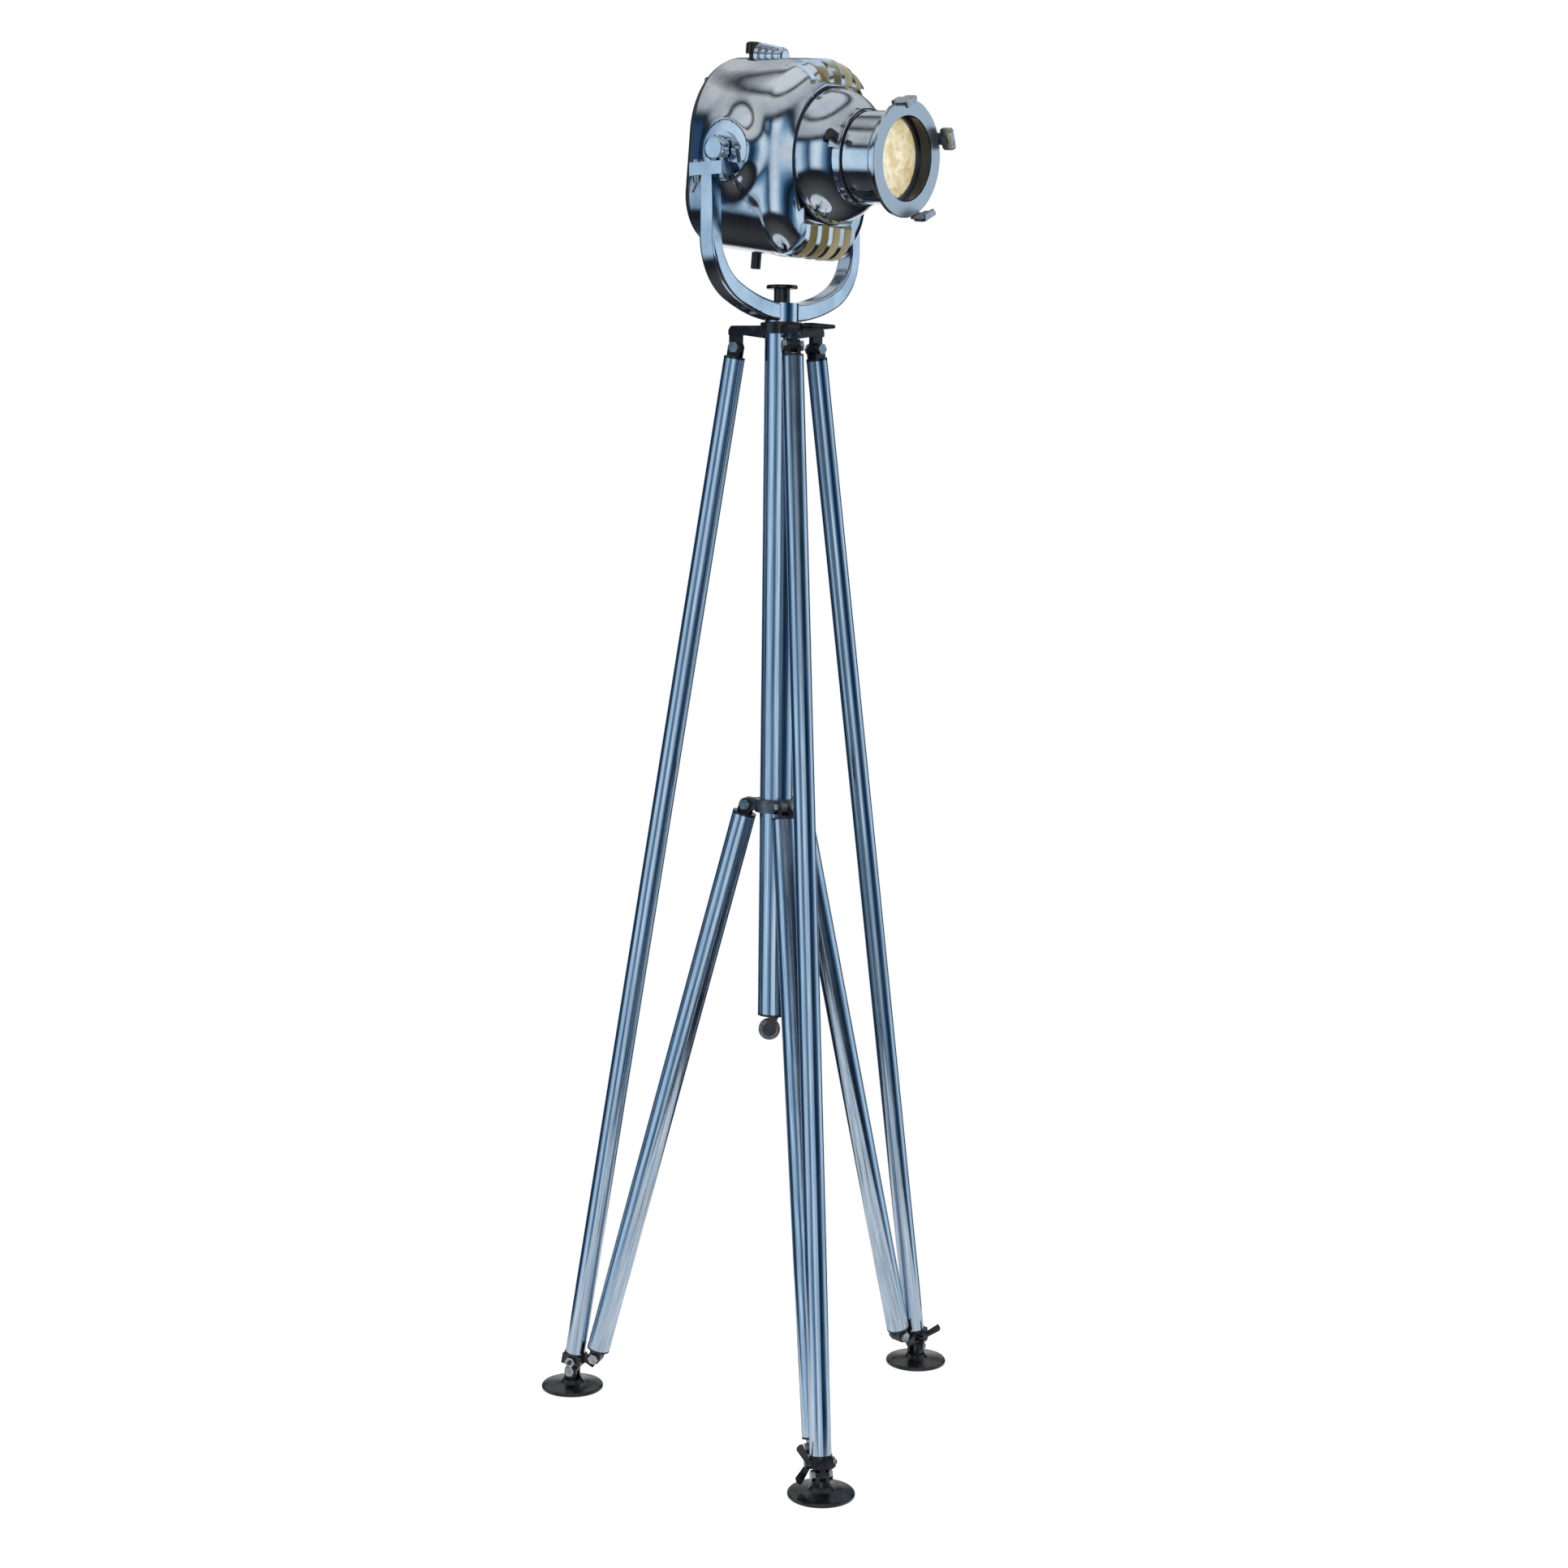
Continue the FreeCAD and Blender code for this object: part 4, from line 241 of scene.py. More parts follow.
bore = add_node(tube_tree, "ShaderNodeMapRange", {"From Min": -20 * MM, "From Max": -30 * MM},
                {"Value": radial_part.outputs["Value"]})
grey_flange = add_node(tube_tree, "ShaderNodeMix", {COLOUR_B: colour("C4CBD2")},
                       {"Factor": faced.outputs["Result"], COLOUR_A: tube_tint.outputs["Color"]},
                       data_type="RGBA")
# Painted shade: the bore is coloured dark grey where the recess lies in shade.
painted_bore_shade = add_node(tube_tree, "ShaderNodeMix", {COLOUR_B: colour("3A3F46")},
                      {"Factor": bore.outputs["Result"],
                       COLOUR_A: grey_flange.outputs[MIXED_COLOUR]},
                      data_type="RGBA")
tube_tree.links.new(painted_bore_shade.outputs[MIXED_COLOUR], tube_shader.inputs["Base Color"])
tube_tree.links.new(satin.outputs[MIXED_VALUE], tube_shader.inputs["Roughness"])
print("lens tube finish:", tube_metal.name)

# %% [markdown]
# The lamp house is polished outside and painted a warm heat-resistant cream inside, which shows
# through the louvres. One mask tells the two apart without looking at the camera: a surface that
# faces the middle of the house is inside. The inside also gives off a faint warm painted glow, a
# painted light that lifts it out of its shade.

# %% The painted inside of the house
house, house_tree, house_shader, house_tint = buffed_aluminium(
    "buffed_cast_aluminium_painted_inside", "D8E0E8", "A9B6C4", 0.05, 0.16, 1.2)
house_low, house_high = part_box("lamp_house")
house_middle = (house_low + house_high) / 2
house_place = add_node(house_tree, "ShaderNodeTexCoord")
from_middle = add_node(house_tree, "ShaderNodeVectorMath", {1: house_middle},
                       {0: house_place.outputs["Object"]},
                       operation="SUBTRACT")
facing_out = add_node(house_tree, "ShaderNodeVectorMath",
                      links={0: house_place.outputs["Normal"], 1: from_middle.outputs["Vector"]},
                      operation="DOT_PRODUCT")
inside = add_node(house_tree, "ShaderNodeMapRange", {"From Min": -4 * MM, "From Max": -12 * MM},
                  {"Value": facing_out.outputs["Value"]})
paint = add_node(house_tree, "ShaderNodeMix", {COLOUR_B: colour("F0E2BC")},
                 {"Factor": inside.outputs["Result"], COLOUR_A: house_tint.outputs["Color"]},
                 data_type="RGBA")
house_tree.links.new(paint.outputs[MIXED_COLOUR], house_shader.inputs["Base Color"])
metal_share = add_node(house_tree, "ShaderNodeMath", {0: 1.0}, {1: inside.outputs["Result"]},
                       operation="SUBTRACT")
house_tree.links.new(metal_share.outputs["Value"], house_shader.inputs["Metallic"])
# Painted light: a faint warm glow on the inside, though nothing there is lit.
painted_glow_inside = add_node(house_tree, "ShaderNodeMath", {1: 0.09}, {0: inside.outputs["Result"]},
                  operation="MULTIPLY")
house_tree.links.new(painted_glow_inside.outputs["Value"], house_shader.inputs["Emission Strength"])
house_shader.inputs["Emission Color"].default_value = colour("F1DFAE")
print("house middle:", [round(c, 3) for c in house_middle])

# %% [markdown]
# Drawn tube: the mast, legs and braces are aluminium tube pulled through a die and then polished
# lengthwise. Drawing leaves hair-thin lines along the tube, with a few deeper ones. A noise
# squeezed across the tube and stretched along it gives both. The legs lean, so each tube's pattern
# is turned to lie along its own axis: the Mapping node takes that turn. Real draw lines are some
# 0.1 mm apart, which is too fine to show from here, so the broad ones are drawn at 2 mm.

# %% Drawn and polished tube
def drawn_tube(name, along):
    material, tree, shader = start_finish(name)
    place = add_node(tree, "ShaderNodeTexCoord").outputs["Object"]
    upright = along.rotation_difference(Vector((0, 0, 1))).to_euler()
    turned = add_node(tree, "ShaderNodeMapping", {"Rotation": upright}, {"Vector": place})
    stretched = add_node(tree, "ShaderNodeMapping", {"Scale": (1.0, 1.0, 0.012)},
                         {"Vector": turned.outputs["Vector"]})
    lines = add_node(tree, "ShaderNodeTexNoise",
                     {"Scale": per_metre(2.2), "Detail": 5.0, "Roughness": 0.7},
                     {"Vector": stretched.outputs["Vector"]})
    tint = add_node(tree, "ShaderNodeValToRGB", links={"Fac": lines.outputs["Fac"]})
    set_ramp(tint, [(0.34, colour("8DA3B8")), (0.5, colour("B5C6D6")), (0.64, colour("D3DEE8"))])
    clouds = add_node(tree, "ShaderNodeTexNoise", {"Scale": per_metre(90), "Detail": 4.0},
                      {"Vector": place})
    gloss = add_node(tree, "ShaderNodeMapRange",
                     {"From Min": 0.3, "From Max": 0.7, "To Min": 0.1, "To Max": 0.24},
                     {"Value": clouds.outputs["Fac"]})
    bump = add_node(tree, "ShaderNodeBump", {"Strength": 0.2, "Distance": 0.12 * MM},
                    {"Height": lines.outputs["Fac"]})
    shader.inputs["Metallic"].default_value = 1.0
    connect_finish(tree, shader, tint, gloss, bump)
    return material


SIDES = ("front", "right", "left")
tube_finishes = {"mast_tube": drawn_tube("drawn_aluminium_mast", Vector((0, 0, 1)))}
for side in SIDES:
    hip = joint_place(f"fold_leg_{side}")
    ankle = joint_place(f"foot_tilt_{side}")
    tube_finishes[f"leg_tube_{side}"] = drawn_tube(f"drawn_aluminium_leg_{side}",
                                                   (hip - ankle).normalized())
    elbow = joint_place(f"fold_brace_{side}")
    tube_finishes[f"brace_tube_{side}"] = drawn_tube(f"drawn_aluminium_brace_{side}",
                                                     (elbow - ankle).normalized())
print("tube finishes:", len(tube_finishes))

# %% [markdown]
# Black stove enamel: the hub, forks, brackets, feet and pan knob are iron and zinc castings,
# sprayed and baked. Baked enamel is glossy with a fine orange peel, and dust settles on it, which
# reads as slightly lighter, duller patches.

# %% Black enamel
def black_enamel(name, base, dusty, gloss_low, gloss_high):
    material, tree, shader = start_finish(name)
    place = add_node(tree, "ShaderNodeTexCoord").outputs["Object"]
    dust = add_node(tree, "ShaderNodeTexNoise",
                    {"Scale": per_metre(18), "Detail": 6.0, "Roughness": 0.7},
                    {"Vector": place})
    tint = add_node(tree, "ShaderNodeValToRGB", links={"Fac": dust.outputs["Fac"]})
    set_ramp(tint, [(0.42, colour(base)), (0.72, colour(dusty))])
    gloss = add_node(tree, "ShaderNodeMapRange",
                     {"From Min": 0.35, "From Max": 0.7, "To Min": gloss_low, "To Max": gloss_high},
                     {"Value": dust.outputs["Fac"]})
    peel = add_node(tree, "ShaderNodeTexNoise", {"Scale": per_metre(1.6), "Detail": 2.0},
                    {"Vector": place})
    bump = add_node(tree, "ShaderNodeBump", {"Strength": 0.2, "Distance": 0.12 * MM},
                    {"Height": peel.outputs["Fac"]})
    shader.inputs["IOR"].default_value = 1.52
    connect_finish(tree, shader, tint, gloss, bump)
    return material


enamel = black_enamel("black_stove_enamel", "0C0C0F", "2A2A2E", 0.12, 0.34)
satin_black = black_enamel("satin_black_cover_paint", "121216", "2E2E33", 0.28, 0.45)
moulded_black = black_enamel("moulded_black_phenolic", "101012", "26262A", 0.2, 0.4)
print("black finishes:", enamel.name, satin_black.name, moulded_black.name)

# %% [markdown]
# Steel fasteners are bright zinc plate, which is greyer and rougher than the aluminium and slightly
# mottled. The mid collar is a die-cast part left as it came from the die: dull, grey and grainy.

# %% Plated steel and raw die-casting
def grainy_metal(name, light, dark, gloss_low, gloss_high, grain, depth):
    material, tree, shader = start_finish(name)
    place = add_node(tree, "ShaderNodeTexCoord").outputs["Object"]
    mottle = add_node(tree, "ShaderNodeTexNoise",
                      {"Scale": per_metre(9), "Detail": 5.0, "Roughness": 0.6},
                      {"Vector": place})
    tint = add_node(tree, "ShaderNodeValToRGB", links={"Fac": mottle.outputs["Fac"]})
    set_ramp(tint, [(0.35, colour(dark)), (0.65, colour(light))])
    gloss = add_node(tree, "ShaderNodeMapRange",
                     {"From Min": 0.3, "From Max": 0.7, "To Min": gloss_low, "To Max": gloss_high},
                     {"Value": mottle.outputs["Fac"]})
    grains = add_node(tree, "ShaderNodeTexNoise", {"Scale": per_metre(grain), "Detail": 2.0},
                      {"Vector": place})
    bump = add_node(tree, "ShaderNodeBump", {"Strength": 0.4, "Distance": depth * MM},
                    {"Height": grains.outputs["Fac"]})
    shader.inputs["Metallic"].default_value = 1.0
    connect_finish(tree, shader, tint, gloss, bump)
    return material


plated_steel = grainy_metal("zinc_plated_steel", "C3C7CC", "8B8F95", 0.2, 0.38, 0.8, 0.03)
die_cast = grainy_metal("raw_die_cast_zinc", "8D9298", "5A5F66", 0.34, 0.52, 1.1, 0.12)
spun_mirror = grainy_metal("spun_mirror_aluminium", "F2E3B4", "D9C285", 0.08, 0.2, 1.0, 0.02)
print("metals:", plated_steel.name, die_cast.name, spun_mirror.name)

# %% [markdown]
# Rubber and ceramic are plain bodies with broken-up gloss: grey rubber with scuffs for the castor's
# tyre, and a white glazed ceramic for the lamp holder.

# %% Rubber and ceramic
def matt_body(name, base, worn, gloss_low, gloss_high, grain, ior):
    material, tree, shader = start_finish(name)
    place = add_node(tree, "ShaderNodeTexCoord").outputs["Object"]
    scuffs = add_node(tree, "ShaderNodeTexNoise",
                      {"Scale": per_metre(grain), "Detail": 6.0, "Roughness": 0.7},
                      {"Vector": place})
    tint = add_node(tree, "ShaderNodeValToRGB", links={"Fac": scuffs.outputs["Fac"]})
    set_ramp(tint, [(0.4, colour(base)), (0.7, colour(worn))])
    gloss = add_node(tree, "ShaderNodeMapRange",
                     {"From Min": 0.3, "From Max": 0.7, "To Min": gloss_low, "To Max": gloss_high},
                     {"Value": scuffs.outputs["Fac"]})
    bump = add_node(tree, "ShaderNodeBump", {"Strength": 0.3, "Distance": 0.1 * MM},
                    {"Height": scuffs.outputs["Fac"]})
    shader.inputs["IOR"].default_value = ior
    connect_finish(tree, shader, tint, gloss, bump)
    return material


grey_rubber = matt_body("grey_castor_rubber", "4A4C50", "77797D", 0.6, 0.8, 4, 1.52)
ceramic = matt_body("glazed_ceramic", "E8DFC8", "F2ECDC", 0.15, 0.3, 12, 1.5)
print("rubber and ceramic:", grey_rubber.name, ceramic.name)

# %% [markdown]
# The lens looks warm and frosted: it lets a third of the light through, a cloudy noise colours it
# from cream to amber, and a faint painted glow in the same colours stands in for the reflection of
# the mirror behind it. The bulb is thin, clear glass, and fine swirls in its roughness stand for
# wiping.

# %% Glass
lens_glass, lens_tree, lens_shader = start_finish("amber_frosted_lens_glass")
lens_grain = add_node(lens_tree, "ShaderNodeTexNoise",
                      {"Scale": per_metre(16), "Detail": 5.0, "Distortion": 1.2},
                      {"Vector": add_node(lens_tree, "ShaderNodeTexCoord").outputs["Object"]})
lens_tint_and_painted_glow = add_node(lens_tree, "ShaderNodeValToRGB", links={"Fac": lens_grain.outputs["Fac"]})
set_ramp(lens_tint_and_painted_glow, [(0.36, colour("D8C394")), (0.5, colour("E9DDB6")), (0.64, colour("F8F3DE"))])
lens_tree.links.new(lens_tint_and_painted_glow.outputs["Color"], lens_shader.inputs["Base Color"])
# Painted glow: the lens's own colours also feed its emission, a painted reflection of the mirror
# behind it.
lens_tree.links.new(lens_tint_and_painted_glow.outputs["Color"], lens_shader.inputs["Emission Color"])
lens_shader.inputs["Emission Strength"].default_value = 0.3
lens_shader.inputs["Transmission Weight"].default_value = 0.35
lens_shader.inputs["Roughness"].default_value = 0.22
lens_shader.inputs["Coat Weight"].default_value = 0.6
lens_shader.inputs["IOR"].default_value = 1.52

bulb_glass, bulb_tree, bulb_shader = start_finish("clear_bulb_glass")
wipes = add_node(bulb_tree, "ShaderNodeTexNoise",
                 {"Scale": per_metre(8), "Detail": 5.0, "Distortion": 1.5},
                 {"Vector": add_node(bulb_tree, "ShaderNodeTexCoord").outputs["Object"]})
wiped = add_node(bulb_tree, "ShaderNodeMapRange",
                 {"From Min": 0.4, "From Max": 0.75, "To Min": 0.01, "To Max": 0.05},
                 {"Value": wipes.outputs["Fac"]})
bulb_tree.links.new(wiped.outputs["Result"], bulb_shader.inputs["Roughness"])
bulb_shader.inputs["Base Color"].default_value = colour("FAF8F0")
bulb_shader.inputs["Transmission Weight"].default_value = 1.0
bulb_shader.inputs["IOR"].default_value = 1.3
print("glass:", lens_glass.name, bulb_glass.name)

# %% [markdown]
# The real lamp house is one casting whose barrel flows out of its sides: a pattern maker rounds
# every inside corner, so the metal can fill the mould. The CAD solid has those corners sharp. This
# skin lies over it like a tight membrane: a fine sleeve round the beam's axis is drawn in until it
# meets the CAD surface, and is then relaxed again and again while it is kept from sinking below
# that surface. Corners that point outwards keep their shape and inside corners fill up.

# %% Head frame
head_left = beam.cross(head_up).normalized()
house_surface = BVHTree.FromPolygons(
    [vertex.co for vertex in nodes["lamp_house"].data.vertices],
    [tuple(polygon.vertices) for polygon in nodes["lamp_house"].data.polygons])
lens_points = [vertex.co for vertex in nodes["lens"].data.vertices]
lens_middle = sum(lens_points, Vector()) / len(lens_points)
axis_foot = lens_middle - beam * (lens_middle - tilt_pivot).dot(beam)


def along_beam(point):
    return (point - axis_foot).dot(beam)


def reach(node_name):
    """How far a node reaches along the beam, from the tilt axis, in metres."""
    places = [along_beam(vertex.co) for vertex in nodes[node_name].data.vertices]
    return min(places), max(places)


house_rear = reach("lamp_house")[0]
nose_rear, nose_front = reach("nose_casting")
print("house from", round(house_rear, 4), "to the nose at", round(nose_rear, 4), "m along the beam")

# %% [markdown]
# The sleeve ends at the nose and not at the casting's foremost point, because the ribs of the
# louvres stand proud of the neck's face. Past that face a ray towards the axis meets nothing, and
# the sleeve would close over the light's path.

# %% Sleeve drawn onto the casting
SKIN_SEGMENTS = 240
SKIN_RINGS = 84
START_RADIUS = 160 * MM
SKIN_GAP = 0.35 * MM
REAR_MARGIN = 0.4 * MM
FRONT_MARGIN = 0.5 * MM
skin_rear = house_rear + REAR_MARGIN
skin_front = nose_rear - FRONT_MARGIN
sleeve = bmesh.new()
bmesh.ops.create_circle(sleeve, segments=SKIN_SEGMENTS, radius=START_RADIUS)
to_head = Matrix((head_left, head_up, beam)).transposed().to_4x4()
to_head.translation = axis_foot + beam * skin_rear
bmesh.ops.transform(sleeve, matrix=to_head, verts=sleeve.verts)
ring = list(sleeve.edges)
step = beam * (skin_front - skin_rear) / SKIN_RINGS
for _ in range(SKIN_RINGS):
    grown = bmesh.ops.extrude_edge_only(sleeve, edges=ring)["geom"]
    new_vertices = [item for item in grown if isinstance(item, bmesh.types.BMVert)]
    fresh = set(new_vertices)
    ring = [item for item in grown if isinstance(item, bmesh.types.BMEdge)
            and fresh.issuperset(item.verts)]
    bmesh.ops.translate(sleeve, verts=new_vertices, vec=step)


def axis_point(point):
    return axis_foot + beam * along_beam(point)


def casting_radius(point):
    """The casting's outer radius round the beam's axis here, or 0 if the ray meets nothing."""
    middle_point = axis_point(point)
    inwards = (middle_point - point).normalized()
    start = middle_point - inwards * START_RADIUS
    hit = house_surface.ray_cast(start, inwards, START_RADIUS)[0]
    return (hit - middle_point).length if hit else 0.0


sleeve.verts.ensure_lookup_table()
floors = {vertex: casting_radius(vertex.co) for vertex in sleeve.verts}
print("sleeve vertices:", len(sleeve.verts))

# %% [markdown]
# Rays that fall through a louvre miss the outside of the casting. So over the louvres the sleeve
# goes on from the last whole ring before them, and narrows as the sides next to it do. The pattern
# maker also gave the cheeks a crown, a few millimetres of belly that turns straight reflections
# into arcs: it is full at the sides and fades to the ends, to the roof and to the floor.

# %% Bridge the louvres and crown the cheeks
CROWN = 7.5 * MM
CROWN_FROM, CROWN_FULL, CROWN_FADES, CROWN_ENDS = 22, 62, 95, 140  # degrees from the roof
CROWN_FULLNESS = 0.8
# The frame of the louvres, along the beam from the tilt axis and across from the beam's axis.
LOUVRE_START = 33 * MM
LOUVRE_MARGIN = 2 * MM
LOUVRE_HALF_WIDTH = 54 * MM
LOUVRE_RISE = 88.5 * MM
LOUVRE_HALF_ANGLE = 31


def smooth_step(start, end, angle):
    share = min(1.0, max(0.0, (angle - start) / (end - start)))
    return share * share * (3 - 2 * share)


def angle_from_top(point):
    """Degrees round the beam's axis, from the roof at 0 to the floor at 180."""
    radial = point - axis_point(point)
    return math.degrees(math.atan2(abs(radial.dot(head_left)), radial.dot(head_up)))


def over_louvre(angle):
    return not LOUVRE_HALF_ANGLE < angle < 180 - LOUVRE_HALF_ANGLE


last_ring = None
for start in range(0, len(sleeve.verts), SKIN_SEGMENTS):
    ring = sleeve.verts[start:start + SKIN_SEGMENTS]
    if along_beam(ring[0].co) < LOUVRE_START - LOUVRE_MARGIN:
        last_ring = ring
        continue
    for index, vertex in enumerate(ring):
        if not over_louvre(angle_from_top(vertex.co)):
            continue
        shrink = []
        for direction in (-1, 1):
            side = index
            while over_louvre(angle_from_top(ring[side % SKIN_SEGMENTS].co)):
                side += direction
            side %= SKIN_SEGMENTS
            shrink.append(floors[ring[side]] / floors[last_ring[side]])
        floors[vertex] = floors[last_ring[index]] * sum(shrink) / 2
for vertex in sleeve.verts:
    angle = angle_from_top(vertex.co)
    belly = smooth_step(CROWN_FROM, CROWN_FULL, angle)
    belly *= 1 - smooth_step(CROWN_FADES, CROWN_ENDS, angle)
    length_share = (along_beam(vertex.co) - skin_rear) / (skin_front - skin_rear)
    length_share = min(1.0, max(0.0, length_share))
    floors[vertex] += CROWN * belly * math.sin(math.pi * length_share) ** CROWN_FULLNESS
for vertex in sleeve.verts:
    outwards = (vertex.co - axis_point(vertex.co)).normalized()
    vertex.co = axis_point(vertex.co) + outwards * floors[vertex]
print("radius, mm:", round(min(floors.values()) / MM, 1), "to", round(max(floors.values()) / MM, 1))

# %% Relax the sleeve above the casting
RELAX_ROUNDS = 90
RELAX_SHARE = 0.5
inner_vertices = [vertex for vertex in sleeve.verts if not vertex.is_boundary]


def relax():
    bmesh.ops.smooth_vert(sleeve, verts=inner_vertices, factor=RELAX_SHARE,
                          use_axis_x=True, use_axis_y=True, use_axis_z=True)


for _ in range(RELAX_ROUNDS):
    relax()
    for vertex in inner_vertices:
        middle_point = axis_point(vertex.co)
        outwards = vertex.co - middle_point
        if outwards.length < floors[vertex]:
            vertex.co = middle_point + outwards.normalized() * floors[vertex]
for vertex in sleeve.verts:
    middle_point = axis_point(vertex.co)
    vertex.co += (vertex.co - middle_point).normalized() * SKIN_GAP
relax()
print("relaxed", len(inner_vertices), "vertices", RELAX_ROUNDS, "times")

# %% [markdown]
# The louvres stay open: the sleeve is cut along the planes that frame them and the pieces over the
# ribs are taken out.

# %% Cut the sleeve round the louvres
MERGE_DISTANCE = 0.01 * MM
SKIN_WALL = 0.8 * MM
for distance, plane_normal in (
        (LOUVRE_START, beam), (LOUVRE_HALF_WIDTH, head_left), (-LOUVRE_HALF_WIDTH, head_left),
        (LOUVRE_RISE, head_up), (-LOUVRE_RISE, head_up)):
    bmesh.ops.bisect_plane(sleeve,
                           geom=list(sleeve.verts) + list(sleeve.edges) + list(sleeve.faces),
                           dist=MERGE_DISTANCE, plane_co=axis_foot + plane_normal * distance,
                           plane_no=plane_normal)
over_louvres = []
for face in sleeve.faces:
    middle_point = face.calc_center_median() - axis_foot
    if (middle_point.dot(beam) > LOUVRE_START
            and abs(middle_point.dot(head_left)) < LOUVRE_HALF_WIDTH
            and abs(middle_point.dot(head_up)) >= LOUVRE_RISE):
        over_louvres.append(face)
bmesh.ops.delete(sleeve, geom=over_louvres, context="FACES")
bmesh.ops.recalc_face_normals(sleeve, faces=sleeve.faces)
some_face = max(sleeve.faces, key=lambda face: face.calc_center_median().z)
if some_face.normal.z < 0:
    bmesh.ops.reverse_faces(sleeve, faces=sleeve.faces)


def finish_piece(mesh, name, body, material, smooth_angle=35):
    """Makes an object of a finished bmesh, rides it on its body and gives it its finish."""
    data = bpy.data.meshes.new(name)
    mesh.to_mesh(data)
    mesh.free()
    data.shade_smooth()
    data.set_sharp_from_angle(angle=math.radians(smooth_angle))
    data.materials.append(material)
    piece = bpy.data.objects.new(name, data)
    bpy.context.scene.collection.objects.link(piece)
    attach(piece, body)
    print(name, len(data.polygons), "faces")
    return piece


skin = finish_piece(sleeve, "lamp_house_skin", "head", cast_aluminium,
                    smooth_angle=180)
wall = skin.modifiers.new("wall", "SOLIDIFY")
wall.thickness = SKIN_WALL
wall.offset = -1.0

# %% [markdown]
# Dark rings mark the joints between castings, a painted shade in the seam between house and nose,
# and round the lens tube where it comes out of the nose. Each is a small circle spun round the
# beam's axis.

# %% Seam rings of painted shade
SEAM_THICKNESS = 2.2 * MM
SEAM_SIDES = 10
SEAM_STEPS = 144
SEAM_PROUD = 0.4 * MM
SEAM_SUNK = 1 * MM
# Painted shade: near-black rings laid into the seams where the joints lie in shade.
seam_shade = matt_body("painted_seam_shade", "17181B", "2C2E33", 0.45, 0.7, 3, 1.5)


def seam_ring(name, place_along, radius):
    ring_mesh = bmesh.new()
    made = bmesh.ops.create_circle(ring_mesh, segments=SEAM_SIDES, radius=SEAM_THICKNESS / 2)
    across = Matrix((head_left, beam, head_left.cross(beam))).transposed().to_4x4()
    across.translation = axis_foot + beam * place_along + head_left * radius
    bmesh.ops.transform(ring_mesh, matrix=across, verts=made["verts"])
    bmesh.ops.spin(ring_mesh, geom=list(ring_mesh.verts) + list(ring_mesh.edges), cent=axis_foot,
                   axis=beam, angle=math.tau, steps=SEAM_STEPS, use_merge=True)
    bmesh.ops.recalc_face_normals(ring_mesh, faces=ring_mesh.faces)
    finish_piece(ring_mesh, name, "head", seam_shade)


def radius_at(node_name, place_along, reach_each_way):
    """The largest radius of a node's points near a place along the beam."""
    near = [vertex.co for vertex in nodes[node_name].data.vertices
            if abs(along_beam(vertex.co) - place_along) < reach_each_way]
    return max((point - axis_point(point)).length for point in near)


seam_ring("seam_ring_house", nose_rear, radius_at("nose_casting", nose_rear, 3 * MM) + SEAM_PROUD)
seam_ring("seam_ring_nose", nose_front, radius_at("nose_casting", nose_front, 1 * MM) - SEAM_SUNK)

# %% [markdown]
# Inside the bulb hangs a coiled filament between two support wires. It only shows through the glass
# and the lens, as a fine bright line, yet without it the bulb looks like an empty bottle.

# %% Filament
bulb_low, bulb_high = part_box("bulb")
bulb_middle = (bulb_low + bulb_high) / 2
filament_metal = grainy_metal("tungsten_wire", "9C9A96", "6E6C68", 0.3, 0.45, 1.0, 0.01)
COIL_TURNS = 9
COIL_STEPS = 16 * COIL_TURNS
COIL_RADIUS = 1.6 * MM
COIL_LENGTH = 16 * MM
COIL_RISE = 6 * MM
WIRE_RADIUS = 0.35 * MM
POST_LENGTH = 34 * MM
POST_DROP = 11 * MM
POST_FOOT_RADIUS = 0.5 * MM
POST_TOP_RADIUS = 0.4 * MM
wire = bmesh.new()
made = bmesh.ops.create_circle(wire, segments=6, radius=WIRE_RADIUS)
stand = Matrix.Translation(Vector((COIL_RADIUS, 0, 0))) @ Matrix.Rotation(math.pi / 2, 4, "X")
bmesh.ops.transform(wire, matrix=stand, verts=made["verts"])
bmesh.ops.spin(wire, geom=list(wire.verts) + list(wire.edges), cent=(0, 0, 0), axis=(0, 0, 1),
               dvec=(0, 0, COIL_LENGTH / COIL_STEPS), angle=math.tau * COIL_TURNS, steps=COIL_STEPS)
lay_across = Matrix((head_up, beam, head_left)).transposed().to_4x4()
lay_across.translation = bulb_middle - head_left * COIL_LENGTH / 2 + head_up * COIL_RISE
bmesh.ops.transform(wire, matrix=lay_across, verts=wire.verts)
for sign in (-1, 1):
    post = bmesh.ops.create_cone(wire, cap_ends=True, segments=8, radius1=POST_FOOT_RADIUS,
                                 radius2=POST_TOP_RADIUS, depth=POST_LENGTH)
    upright = Matrix((head_left, beam, head_up)).transposed().to_4x4()
    upright.translation = bulb_middle + head_left * (sign * COIL_LENGTH / 2) - head_up * POST_DROP
    bmesh.ops.transform(wire, matrix=upright, verts=post["verts"])
finish_piece(wire, "bulb_filament", "head", filament_metal)

# %% [markdown]
# The rear cover comes off to change the bulb, so it is held by slotted cheese-head screws near its
# corners. A screw head is a short cylinder with a bevelled rim, and its slot is cut by a thin box:
# the Boolean modifier takes it out.

# %% Cover screws
HEAD_RADIUS = 4.2 * MM
HEAD_HEIGHT = 2.2 * MM
SLOT_WIDTH = 1.2 * MM
SLOT_DEPTH = 1.1 * MM
SCREW_SINK = 0.3 * MM
RIM_RADIUS = 0.6 * MM
SCREW_ACROSS = 66 * MM
SCREW_ROOF = 84 * MM
SCREW_FLOOR = 92 * MM
cover_rear = reach("rear_cover")[0]


def screw_place(across, rise, turn_degrees):
    """Stands a piece made along +Z on the cover, pointing backwards, turned about its own axis."""
    place = Matrix((head_left, head_left.cross(beam), -beam)).transposed().to_4x4()
    place.translation = axis_foot + beam * cover_rear + head_left * across + head_up * rise
    return place @ Matrix.Rotation(math.radians(turn_degrees), 4, "Z")


